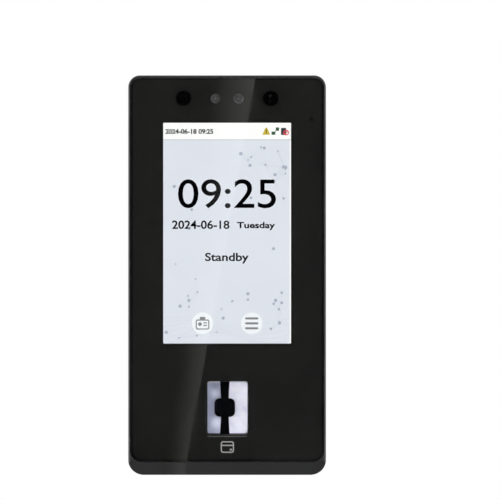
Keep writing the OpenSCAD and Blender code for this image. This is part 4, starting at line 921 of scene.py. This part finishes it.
def turned_piece(name, places, profile, material, steps=48, **rest):
    """One mesh of equal turned pieces at the (x, z) places: x + r cos t, z + r sin t."""
    profile = np.array(profile, float)
    t = np.linspace(0, 2 * np.pi, steps, endpoint=False)
    rows = len(profile)
    r, d = profile[:, :1], profile[:, 1:]
    points, faces = [], []
    for k, (x, z) in enumerate(places):
        points.append(np.stack((x + r * np.cos(t), -d + 0 * t, z + r * np.sin(t)), -1).reshape(-1, 3))
        faces += (round_faces(rows, steps) + k * rows * steps).tolist()
    return piece(name, np.concatenate(points) * MM, faces, material, weld=True, **rest)


def dome(r, d, height, steps=10):
    """Profile of a spherical cap from its rim, at radius r and distance d, to its pole."""
    ball = (r * r + height * height) / (2 * height)
    reach = math.asin(r / ball)
    a = np.linspace(reach, 0, steps)
    return [(ball * math.sin(v), d + ball * (math.cos(v) - math.cos(reach))) for v in a]


print("a ring of two rows has", len(round_faces(2, 48)), "faces")

# %% [markdown]
# ## Eased edges
# No moulded or stamped edge is razor sharp, and light shows it as a thin line. A CAD node is loose
# triangles, so a copy of it is merged first. Then every sharp edge is bevelled, and the new faces
# get a second finish, paler and glossier, where hands and tools have rubbed the edge. The bevel
# turns thin triangles of the flats inside out, so each flat is filled again inside its new border.
# Normals weighted by area keep the flats flat, and only the narrow new faces bend the light.

# %% Flats and their borders
SAME_NORMAL = 1 - 1e-7


def number_flats(work):
    """Gives each face the number of its flat: the faces of one normal that edges join."""
    flat = work.faces.layers.int.new("flat")
    number = 0
    for first_face in work.faces:
        if first_face[flat]:
            continue
        number += 1
        first_face[flat], queue = number, [first_face]
        while queue:
            for edge in queue.pop().edges:
                for other in edge.link_faces:
                    if not other[flat] and other.normal.dot(first_face.normal) > SAME_NORMAL:
                        other[flat] = number
                        queue.append(other)
    return flat


def borders(faces):
    """Loops of points round some faces: the runs that no other face of them follows backwards. A dict
    keeps the faces' order, where the order of a set would change from one run of Blender to the next."""
    runs = dict.fromkeys((side.vert, side.link_loop_next.vert) for face in faces for side in face.loops)
    after = {start: stop for start, stop in runs if (stop, start) not in runs}
    loops = []
    while after:
        start, here = after.popitem()
        loop = [start]
        while here != start and here in after:
            loop.append(here)
            here = after.pop(here)
        loops.append(loop)
    return loops


print("flats are numbered from 1")


# %% Flats filled again
TURNS_TRIED, LAST_TURN, AREA_SLACK = 12, 2, 1e-3


def fill_again(work, faces):
    """New triangles inside the borders of a flat, laid flat as (p.u, p.v). Their areas have to add up
    to the area inside the borders, half the sum of the cross products along them. Where they don't,
    the flat is turned on its normal and tried again."""
    loops = borders(faces)
    points = sum(loops, [])
    normal = max(faces, key=lambda face: face.calc_area()).normal.copy()
    for turn in np.linspace(0, LAST_TURN, TURNS_TRIED):
        u = Quaternion(normal, turn) @ normal.orthogonal().normalized()
        v = normal.cross(u)
        flat = [[Vector((p.co.dot(u), p.co.dot(v), 0)) / MM for p in loop] for loop in loops]
        inside = sum(a.cross(b).z for loop in flat for a, b in zip(loop, loop[1:] + loop[:1])) / 2
        where = sum(flat, [])
        found = []
        for tri in tessellate_polygon(flat):
            a, b, c = (where[i] for i in tri)
            found.append((tri, (b - a).cross(c - a).z / 2))
        if abs(sum(abs(area) for tri, area in found) - inside) < AREA_SLACK * inside:
            break
    else:
        return
    bmesh.ops.delete(work, geom=faces, context="FACES")
    for tri, area in found:
        corners = [points[i] for i in (tri if area > 0 else tri[::-1])]
        if not work.faces.get(corners):
            work.faces.new(corners)


print("a flat is tried in up to", TURNS_TRIED, "turns")


# %% Eased copies
BEVEL_ANGLE = 40


def eased(node_name, width, material, worn, body="terminal"):
    """A merged copy of a CAD node, whose edges that turn more than the bevel angle are bevelled by
    width millimetres and get the worn finish. The copy replaces the node."""
    work = bmesh.new()
    work.from_mesh(nodes[node_name].data)
    bmesh.ops.remove_doubles(work, verts=work.verts, dist=MERGED)
    for face in work.faces:
        face.material_index = 0
    flat = number_flats(work)
    sharp = [edge for edge in work.edges if edge.calc_face_angle(0) > math.radians(BEVEL_ANGLE)]
    bmesh.ops.bevel(work, geom=sharp, offset=width * MM, offset_type="OFFSET", segments=2, profile=0.5,
                    affect="EDGES", clamp_overlap=False, material=1, loop_slide=True)
    groups = {}
    for face in work.faces:
        if face.material_index == 0:
            groups.setdefault(face[flat], []).append(face)
    for group in [g for g in groups.values() if len(g) > 2]:
        fill_again(work, group)
    open_edges = [edge for edge in work.edges if len(edge.link_faces) == 1]
    bmesh.ops.holes_fill(work, edges=open_edges, sides=6)
    for face in work.faces:
        face.smooth = True
    mesh = bpy.data.meshes.new("eased_" + node_name)
    work.to_mesh(mesh)
    work.free()
    mesh.set_sharp_from_angle(angle=math.radians(BEVEL_ANGLE))
    mesh.materials.append(material)
    mesh.materials.append(worn)
    made = bpy.data.objects.new("eased_" + node_name, mesh)
    bpy.context.scene.collection.objects.link(made)
    normals = made.modifiers.new("flat_faces", "WEIGHTED_NORMAL")
    normals.mode, normals.weight, normals.keep_sharp = "FACE_AREA", 100, True
    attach(made, body)
    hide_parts(node_name)
    print("eased", node_name, len(mesh.polygons), "faces")
    return made


eased("front_frame", 0.12, frame_plastic, frame_worn)
eased("rear_cover", 0.12, cover_plastic, cover_worn)
eased("wall_plate", 0.15, plate_steel, cut_steel, body="wall_mount")
eased("usb_door", 0.08, boot_rubber, cover_worn, body="usb_door")
eased("network_jack", 0.12, shield_tin, cut_steel)
for block in ("power_terminals", "signal_terminals"):
    eased(block, 0.1, terminal_green, terminal_worn)
for screws in ("clamp_screws", "case_screws"):
    eased(screws, 0.06, bright_screw, cut_steel)

# %% [markdown]
# ## Lock screw
# The screw that locks the terminal to its plate comes up from below. Its shank has a thread, which
# is one grid: rows go down the profile from the middle of the hexagonal socket to the tip, columns
# go round the axis. A socket ring's radius is a / cos(t - the middle of its flat), and a thread
# ring's radius falls and rises with the height less the turn, so the ridge climbs as a helix.

# %% Threaded screw
HEAD_R, HEAD_H, HEAD_ROUND = 2.8, 1.9, 0.2
SOCKET_R, SOCKET_DEEP, SOCKET_LIP, LIP_DEEP = 1.15, 1.1, 0.12, 0.1
SHANK_R, PITCH, THREAD_DEEP, ROWS_A_TURN = 1.5, 0.8, 0.3, 8
TIP_R, TIP_H = 0.9, 0.8
SCREW_SIDES, ROUND_STEPS = 48, 6
screw_d, (foot, tip) = span("lock_screw")[1:]
neck = foot + HEAD_H
turn = np.linspace(0, 2 * np.pi, SCREW_SIDES, endpoint=False)
hexagon = SOCKET_R * math.cos(math.pi / 6) / np.cos(np.mod(turn, np.pi / 3) - np.pi / 6)
rings = [(0, foot + SOCKET_DEEP), (hexagon, foot + SOCKET_DEEP), (hexagon, foot + LIP_DEEP),
         (hexagon + SOCKET_LIP, foot)]
bend = np.linspace(0, np.pi / 2, ROUND_STEPS)
rings += [(HEAD_R - HEAD_ROUND * (1 - np.sin(b)), foot + HEAD_ROUND * (1 - np.cos(b))) for b in bend]
rings += [(HEAD_R - HEAD_ROUND * (1 - np.cos(b)), neck - HEAD_ROUND * (1 - np.sin(b))) for b in bend]
shank_z = np.linspace(neck, tip - TIP_H, int((tip - TIP_H - neck) / PITCH * ROWS_A_TURN))
wave = np.abs(2 * np.mod(shank_z[:, None] / PITCH - turn / (2 * np.pi), 1) - 1)
fade = np.clip((shank_z[:, None] - neck) / PITCH, 0, 1)
rings += list(zip(SHANK_R - THREAD_DEEP * wave * fade, shank_z))
rings += [(TIP_R, tip), (0, tip)]
radii = np.array([r + 0 * turn for r, z in rings])
heights = np.array([z + 0 * turn for r, z in rings])
screw_y = -sum(screw_d) / 2 + radii * np.sin(turn)
screw_points = np.stack((radii * np.cos(turn), screw_y, heights), -1).reshape(-1, 3) * MM
bolt = piece("lock_bolt", screw_points, round_faces(*radii.shape), dark_screw, body="lock_screw",
             slot="dark_screw", weld=True, smooth=35)
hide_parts("lock_screw")

# %% [markdown]
# ## Tamper spring
# A coil spring pushes the tamper plunger out to the wall. It is a tube carried along a helix, with
# its last turn at each end closed up flat.
#
# Along the helix, at the share s of its length, the tube rises by the height of the open turns times
# (s * turns - closed) / (turns - 2 * closed), held between 0 and 1, and by a little for the closed
# turns, so that they don't run into themselves.

# %% Coil spring
WIRE_R, TURNS, CLOSED, STEPS_A_TURN, WIRE_SIDES = 0.2, 6.0, 0.75, 28, 8
spring_x, spring_d, spring_z = span("tamper_spring")
spring_long = spring_d[1] - spring_d[0]
coil_r = (spring_x[1] - spring_x[0]) / 2 - WIRE_R
share = np.linspace(0, 1, int(TURNS * STEPS_A_TURN))[:, None]
opened = np.clip((share * TURNS - CLOSED) / (TURNS - 2 * CLOSED), 0, 1)
open_long = spring_long - 2 * WIRE_R - 2 * CLOSED * WIRE_R
climb = WIRE_R + share * 2 * WIRE_R * CLOSED + opened * open_long
round_coil = share * TURNS * 2 * np.pi
round_wire = np.linspace(0, 2 * np.pi, WIRE_SIDES, endpoint=False)
tube_r = coil_r + WIRE_R * np.cos(round_wire)
tube = np.stack((sum(spring_x) / 2 + tube_r * np.cos(round_coil),
                 -(spring_d[0] + climb + WIRE_R * np.sin(round_wire)),
                 sum(spring_z) / 2 + tube_r * np.sin(round_coil)), -1)
first_end = list(range(WIRE_SIDES))
last_end = [(len(tube) - 1) * WIRE_SIDES + side for side in first_end]
tube_faces = round_faces(len(tube), WIRE_SIDES).tolist() + [first_end, last_end]
coil = piece("tamper_coil", tube.reshape(-1, 3) * MM, tube_faces, bright_screw,
             slot="spring_steel", weld=True, smooth=50)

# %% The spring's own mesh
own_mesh(coil)
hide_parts("tamper_spring")
print("spring is", round(spring_long, 2), "mm long")

# %% [markdown]
# ## Infrared lights
# Each light is a smoky resin dome in a flared cup of frosted metal, which fills the round window in
# the ink. A rubber hood round both cups keeps their light from reaching the cameras through the
# glass. The hood is a rounded plate with two bores, and each cup is turned to fill its bore.

# %% Light hood
LIGHTS = ((-4.9, 75.2), (4.9, 75.2))
CUP_BORE, HOOD_CORNER, HOOD_ROUND, BORE_ROUND = 2.45, 1.2, 0.2, 0.05
hood_x, hood_d, hood_z = span("light_baffle")
hood_outline = rounded_box(0, sum(hood_z) / 2, hood_x[1] - hood_x[0], hood_z[1] - hood_z[0], HOOD_CORNER)
hood_shape = rounded_plate([hood_outline] + [circle(x, z, CUP_BORE) for x, z in LIGHTS], hood_d[0],
                           hood_d[1] - LEAF, (HOOD_ROUND, BORE_ROUND, BORE_ROUND))
hood = piece("light_hood", *hood_shape, boot_rubber, slot="boot_rubber", smooth=40)
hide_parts("light_baffle")

# %% Light cups and domes
LED_R, CUP_RIM, CUP_DEPTH, CUP_FIT = 1.5, 2.2, 1.1, 0.05
lights_d = span("infrared_lights")[1]
rim_d, cup_d, cup_back = mask_d[0] - 2 * LEAF, mask_d[0] - CUP_DEPTH, hood_d[0] + CUP_FIT
cup_out, cup_in = CUP_BORE - CUP_FIT, LED_R + CUP_FIT
cup_profile = [(cup_in, cup_d), (CUP_RIM, rim_d), (cup_out, rim_d), (cup_out, cup_back),
               (cup_in, cup_back), (cup_in, cup_d)]
cup_metal = finish("cup_metal", linear(112, 112, 112), 0.5, shade=0.12, patch=0.5, lift=0.002)
turned_piece("light_cups", LIGHTS, cup_profile, cup_metal, slot="led_resin", smooth=30)
dome_profile = [(0, lights_d[0]), (LED_R, lights_d[0])] + dome(LED_R, lights_d[1] - LED_R, LED_R)
resin = turned_piece("light_domes", LIGHTS, dome_profile, led_resin, slot="led_resin", smooth=30)
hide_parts("infrared_lights")

# %% [markdown]
# ## Camera lenses
# A camera behind black glass shows as a black disc until light falls across it. Then the dome of the
# front lens appears with a faint coating, and three fine rings on the front of the barrel, which
# stop stray light. The rings' profile is a cosine of the radius with three waves.

# %% Lenses
CAMERAS = ((-18.55, 75.2), (18.55, 75.2))
LENS_R, LENS_RISE, LENS_SUNK, LENS_EDGE = 2.2, 0.8, 1.3, 0.05
barrel_front = span("colour_camera")[1][1]
lens_back = barrel_front - LENS_SUNK
lens_glass = finish("lens_glass", (0.0002, 0.0002, 0.0006), 0.06, shade=0.2, patch=3, lift=0.0,
                    Specular_IOR_Level=0.08)
lens_profile = [(0, lens_back), (LENS_R, lens_back)] + dome(LENS_R, lens_back + LENS_EDGE, LENS_RISE)
turned_piece("camera_lenses", CAMERAS, lens_profile, lens_glass, slot="camera_black", smooth=30)

# %% Rings on the barrels
RIDGES, RIDGES_IN, RIDGES_OUT, RIDGE_MIDDLE, RIDGE_SWING, RIDGE_STEPS = 3, 2.34, 3.16, 0.05, 0.035, 25
ridge_r = np.linspace(RIDGES_IN, RIDGES_OUT, RIDGE_STEPS)
ridge_wave = np.cos((ridge_r - RIDGES_IN) * 2 * np.pi * RIDGES / (RIDGES_OUT - RIDGES_IN))
ridge_profile = list(zip(ridge_r, barrel_front + RIDGE_MIDDLE + RIDGE_SWING * ridge_wave))
ridge_profile = [(RIDGES_IN, barrel_front)] + ridge_profile
ridge_profile += [(RIDGES_OUT, barrel_front), (RIDGES_IN, barrel_front)]
turned_piece("barrel_rings", CAMERAS, ridge_profile, camera_black, slot="camera_black", smooth=50)

# %% [markdown]
# ## The lit picture
# A display shines by itself, so its picture is emission on a black base. What it shows is plain: a
# clock, a date, a state, two round buttons and faint dots and lines behind them. Each part of the
# picture is a plate a hundredth of a millimetre in front of the one behind it, on the front of the
# panel. The glass in front takes a share of the light, which is given back to every colour.

# %% Lit colours
GLASS_LOSS = 0.87


def lit(name, colour, drift=0.012, patch=18):
    """A material that shines in a screen colour, which drifts by a share over patches of patch
    millimetres."""
    glow = [c / GLASS_LOSS for c in linear(*colour)[:3]]
    material = bpy.data.materials.new(name)
    material.use_nodes = True
    tree = material.node_tree
    shader = tree.nodes["Principled BSDF"]
    shader.inputs["Base Color"].default_value = (0, 0, 0, 1)
    shader.inputs["Roughness"].default_value = 0.4
    shader.inputs["Specular IOR Level"].default_value = 0.0
    shader.inputs["Emission Strength"].default_value = 1.0
    mottled(tree, glow, drift, patch, (1, 1, 1), shader.inputs["Emission Color"], limit=math.inf)
    return material


screen_ground = lit("screen_ground", (223, 227, 235))
screen_white = lit("screen_white", (254, 254, 252), drift=0.004)
screen_button = lit("screen_button", (241, 244, 247), drift=0.004)
screen_line = lit("screen_line", (206, 209, 214))
screen_faint = lit("screen_faint", (206, 211, 222))
screen_dots = lit("screen_dots", (172, 178, 194))
screen_ink = lit("screen_ink", (2, 2, 4))
screen_grey = lit("screen_grey", (132, 134, 136))
screen_dark = lit("screen_dark", (58, 60, 62))
screen_yellow = lit("screen_yellow", (206, 182, 66))
screen_green = lit("screen_green", (56, 92, 60))
screen_red = lit("screen_red", (216, 76, 90))
print("lit colours made")

# %% Ground and status bar
SCREEN_X, SCREEN_Z = (-27.4, 27.4), (-29.2, 65.1)
STATUS_BASE, STATUS_LINE, EDGE_W = 57.9, 0.5, 0.82
picture_d = panel_d[1] + LEAF


def layer(number):
    """The near and far distance of a leaf of the picture, counted from the ground at 0."""
    return picture_d + (number - 1) * LEAF, picture_d + number * LEAF


def box_outline(x, z):
    """A plain rectangle from its two x and two z."""
    return np.array([(x[0], z[0]), (x[1], z[0]), (x[1], z[1]), (x[0], z[1])])


flat_piece("picture_ground", [[box_outline(panel_x, panel_z)]], layer(0), screen_ground)
flat_piece("status_bar", [[box_outline(SCREEN_X, (STATUS_BASE, SCREEN_Z[1]))]], layer(1), screen_white)
under_bar = STATUS_BASE - STATUS_LINE
edge_x = (SCREEN_X[1] - EDGE_W, SCREEN_X[1])
flat_piece("status_line", [[box_outline(SCREEN_X, (under_bar, STATUS_BASE))]], layer(1), screen_line)
flat_piece("picture_edge", [[box_outline(edge_x, (SCREEN_Z[0], under_bar))]], layer(3), screen_white)

# %% [markdown]
# The ink's second coat has a window for the picture too, a little smaller than that of the first, so
# the edge that shows is the crisp one. It is a ring, whose outer edge lies on the first coat.

# %% Border of the picture's window
# How much wider than the picture each edge of the ring is, and the radius of its corners.
OUTER_EDGE, INNER_EDGE = (1.0, 0.6), (-0.5, 0.3)
screen_w, screen_h = SCREEN_X[1] - SCREEN_X[0], SCREEN_Z[1] - SCREEN_Z[0]
window_edges = [rounded_box(0, sum(SCREEN_Z) / 2, screen_w + wider, screen_h + wider, r)
                for wider, r in (OUTER_EDGE, INNER_EDGE)]
flat_piece("window_border", [window_edges], ink_leaf, mask_ink, slot="mask_ink")

# %% [markdown]
# The wallpaper is dots at random places, with lines between near ones, over a band of waves at the
# foot. The draws come from a seeded generator, so that each run gives the same picture. The waves
# are six sines. From the lowest up, each is a step higher, a little flatter and a little shifted.

# %% Wallpaper dots and links
# How many dots lie between which x and z.
DOTS = ((24, (-26, 26), (-27, -6)), (12, (4, 26), (38, 56)), (10, (-26, 26), (-6, 50)))
LINK_REACH, LINK_W, DOT_R = 9, 0.12, (0.35, 0.8)
scatter = np.random.default_rng(12)
knots = np.concatenate([np.column_stack((scatter.uniform(*x, count), scatter.uniform(*z, count)))
                        for count, x, z in DOTS])
dot_sizes = scatter.uniform(*DOT_R, len(knots))
gaps = np.hypot(*(knots[:, None] - knots[None]).transpose(2, 0, 1))
links = [[stroke(knots[a], knots[b], LINK_W)] for a, b in zip(*np.nonzero(np.triu(gaps < LINK_REACH, 1)))]
flat_piece("wallpaper_lines", links, layer(1), screen_faint)

# %% Wallpaper waves
WAVES, WAVE_FOOT, WAVE_STEP, WAVE_LINE = 6, -27.5, 1.6, 0.07
WAVE_SWING, FLATTER, WAVE_LONG, WAVE_SHIFT, WAVE_START = 3.2, 0.3, 9, 0.35, 2.2
LOWEST, LOWEST_STEP, WAVE_POINTS = SCREEN_Z[0] + 0.1, 0.2, 60
wave_x = np.linspace(SCREEN_X[0], SCREEN_X[1], WAVE_POINTS)
waves = []
for k in range(WAVES):
    swing = (WAVE_SWING - FLATTER * k) * np.sin(wave_x / WAVE_LONG + WAVE_SHIFT * k + WAVE_START)
    wave_z = np.maximum(WAVE_FOOT + WAVE_STEP * k + swing, LOWEST + LOWEST_STEP * k)
    under, over = (np.column_stack((wave_x, wave_z + by)) for by in (-WAVE_LINE, WAVE_LINE))
    waves.append([np.concatenate((under, over[::-1]))])
flat_piece("wallpaper_waves", waves, layer(1), screen_faint)
dots = [[circle(x, z, r, 16)] for (x, z), r in zip(knots, dot_sizes)]
flat_piece("wallpaper_dots", dots, layer(2), screen_dots)

# %% [markdown]
# Words start as a text curve with Blender's own typeface, which becomes a mesh. Each letter mesh is
# then stretched to the box that it should fill, so a clock's width and height are plain numbers.
# The weight moves the outline outwards, in the curve's own units, and makes small letters bolder.

# %% Numbers and words
def words(name, text, x, z, weight):
    """Text as a thin closed mesh: low + share * (high - low) along each axis, where share is a
    point's place in the letters' own box."""
    letters = bpy.data.curves.new(name, "FONT")
    letters.body, letters.extrude = text, 0.5
    letters.offset, letters.resolution_u = weight, 4
    carrier = bpy.data.objects.new(name, letters)
    bpy.context.scene.collection.objects.link(carrier)
    bpy.context.view_layer.update()
    ready = carrier.evaluated_get(bpy.context.evaluated_depsgraph_get())
    shape = bpy.data.meshes.new_from_object(ready)
    points = np.zeros(len(shape.vertices) * 3)
    shape.vertices.foreach_get("co", points)
    points = points.reshape(-1, 3)
    low, high = points.min(0), points.max(0)
    share = (points - low) / (high - low)
    near, far = layer(2)
    placed = np.column_stack((x[0] + share[:, 0] * (x[1] - x[0]), -(near + share[:, 2] * (far - near)),
                              z[0] + share[:, 1] * (z[1] - z[0]))) * MM
    faces = [list(p.vertices) for p in shape.polygons]
    bpy.data.objects.remove(carrier)
    bpy.data.meshes.remove(shape)
    return piece(name, placed, faces, screen_ink, slot="display")


words("clock", "09:25", (-20.9, 20.8), (28.5, 40.9), weight=0.004)
words("date", "2024-06-18", (-23.4, 1.0), (19.7, 23.4), weight=0.022)
words("weekday", "Tuesday", (4.2, 20.4), (19.2, 22.7), weight=0.03)
words("state", "Standby", (-9.4, 9.2), (5.0, 9.6), weight=0.022)
words("status_time", "2024-06-18 09:25", (-26.3, -5.9), (60.1, 62.3), weight=0.035)

# %% [markdown]
# The icons are the plainest of their kind: a list of three bars, a badge with a dot and two lines, a
# notice, a link between two boxes and a store with a ring. Each is drawn about its own middle, and
# its sizes are written where it is drawn, because nothing else takes them.

# %% Buttons
BUTTON_X, BUTTON_Z, BUTTON_R = 10.45, -20.4, 4.6
buttons = [[circle(x, BUTTON_Z, BUTTON_R, 96)] for x in (-BUTTON_X, BUTTON_X)]
flat_piece("round_buttons", buttons, layer(3), screen_button)
bars = [[rounded_box(BUTTON_X, BUTTON_Z + up, 5.6, 0.9, 0.4)] for up in (-2.1, 0, 2.1)]
flat_piece("list_icon", bars, layer(4), screen_grey)
badge_x, line_x, card_z = -BUTTON_X, -BUTTON_X + 1.1, BUTTON_Z - 0.5
badge = [[rounded_box(badge_x, card_z, w, h, r) for w, h, r in ((5.8, 4.3, 0.8), (4.8, 3.3, 0.4))],
         [rounded_box(badge_x, BUTTON_Z + 2.2, 2.4, 1.1, 0.4)],
         [circle(badge_x - 1.1, BUTTON_Z - 0.3, 0.8, 24)],
         [rounded_box(line_x, BUTTON_Z + 0.2, 1.6, 0.5, 0.2)],
         [rounded_box(line_x, BUTTON_Z - 0.9, 1.6, 0.5, 0.2)]]
flat_piece("badge_icon", badge, layer(4), screen_grey)

# %% Status icons
STATUS_Z, NOTICE_X, STORE_X, RING_X = 61.2, 16.65, 24.0, 25.1
low, high = STATUS_Z - 1.4, STATUS_Z + 1.6
notice = [(NOTICE_X - 1.65, low), (NOTICE_X + 1.65, low), (NOTICE_X + 0.35, high), (NOTICE_X - 0.35, high)]
flat_piece("notice_icon", [[np.array(notice)]], layer(2), screen_yellow)
mark = [[rounded_box(NOTICE_X, STATUS_Z + 0.25, 0.4, 1.3, 0.15)],
        [circle(NOTICE_X, STATUS_Z - 0.85, 0.25, 16)]]
flat_piece("notice_mark", mark, layer(3), screen_dark)
link = [[box_outline((18.9, 20.5), (low, STATUS_Z - 0.1))],
        [box_outline((20.7, 22.1), (STATUS_Z + 0.3, STATUS_Z + 1.7))],
        [stroke((20.3, STATUS_Z - 0.3), (20.9, STATUS_Z + 0.5), 0.3)]]
flat_piece("link_icon", link, layer(2), screen_green)
flat_piece("store_icon", [[rounded_box(STORE_X, STATUS_Z, 2.2, 3.0, 0.3)]], layer(2), screen_dark)
ring_z, slash = STATUS_Z - 0.5, 0.65
ring = [[circle(RING_X, ring_z, r, 32) for r in (1.2, 0.75)],
        [stroke((RING_X - slash, ring_z - slash), (RING_X + slash, ring_z + slash), 0.4)]]
flat_piece("store_ring", ring, layer(3), screen_red)

# %% [markdown]
# ## The card mark
# Under the fingerprint window the ink is printed with a small outline of a card, where a card is
# held to the reader. The mark lies on the back of the glass, so it is a plate just inside it.

# %% Card mark
CARD_X, CARD_Z, CARD_W, CARD_H, LINE = 0.1, -72.95, 5.6, 4.9, 0.47
half_inside = CARD_W / 2 - LINE
outline = rounded_box(CARD_X, CARD_Z, CARD_W, CARD_H, 1.1)
inside = rounded_box(CARD_X, CARD_Z, 2 * half_inside, CARD_H - 2 * LINE, 0.7)
stripe = box_outline((CARD_X - half_inside, CARD_X + half_inside), (CARD_Z + 0.45, CARD_Z + 0.95))
chip = rounded_box(CARD_X + 1.5, CARD_Z - 1.1, 1.0, 0.7, 0.3)
card_print = finish("card_print", linear(205, 205, 203), 0.5, shade=0.04, patch=1, lift=0.0)
flat_piece("card_mark", [[outline, inside], [stripe], [chip]], ink_leaf, card_print, slot="mask_ink")

# %% [markdown]
# ## Floor
# A pale floor lies well below the terminal, which hangs on a wall in use. From the front the camera
# looks along the floor and past its edge, so the background stays white. Seen from below the floor
# lets the view through.

# %% Floor
# Half the floor's side and its height, in metres.
FLOOR_HALF, FLOOR_Z = 3.0, -0.30
floor_mesh = bpy.data.meshes.new("floor")
corners = [(x * FLOOR_HALF, y * FLOOR_HALF, FLOOR_Z) for x, y in ((-1, -1), (1, -1), (1, 1), (-1, 1))]
floor_mesh.from_pydata(corners, [], [(0, 1, 2, 3)])
floor = bpy.data.objects.new("floor", floor_mesh)
bpy.context.scene.collection.objects.link(floor)
floor_paint = finish("floor_paint", (0.8, 0.8, 0.79), 0.6, shade=0.02, patch=60, grain=2, lift=0.01)
tree = floor_paint.node_tree
side_seen, clear, either = (node(tree, kind) for kind in ("NewGeometry", "BsdfTransparent", "MixShader"))
wire(tree,
     (side_seen.outputs["Backfacing"], either.inputs[0]),
     (tree.nodes["Principled BSDF"].outputs[0], either.inputs[1]),
     (clear.outputs[0], either.inputs[2]),
     (either.outputs[0], tree.nodes["Material Output"].inputs["Surface"]))
floor_mesh.materials.append(floor_paint)
floor.visible_glossy = floor.visible_diffuse = False
print("floor is", -FLOOR_Z, "m below the terminal's middle")
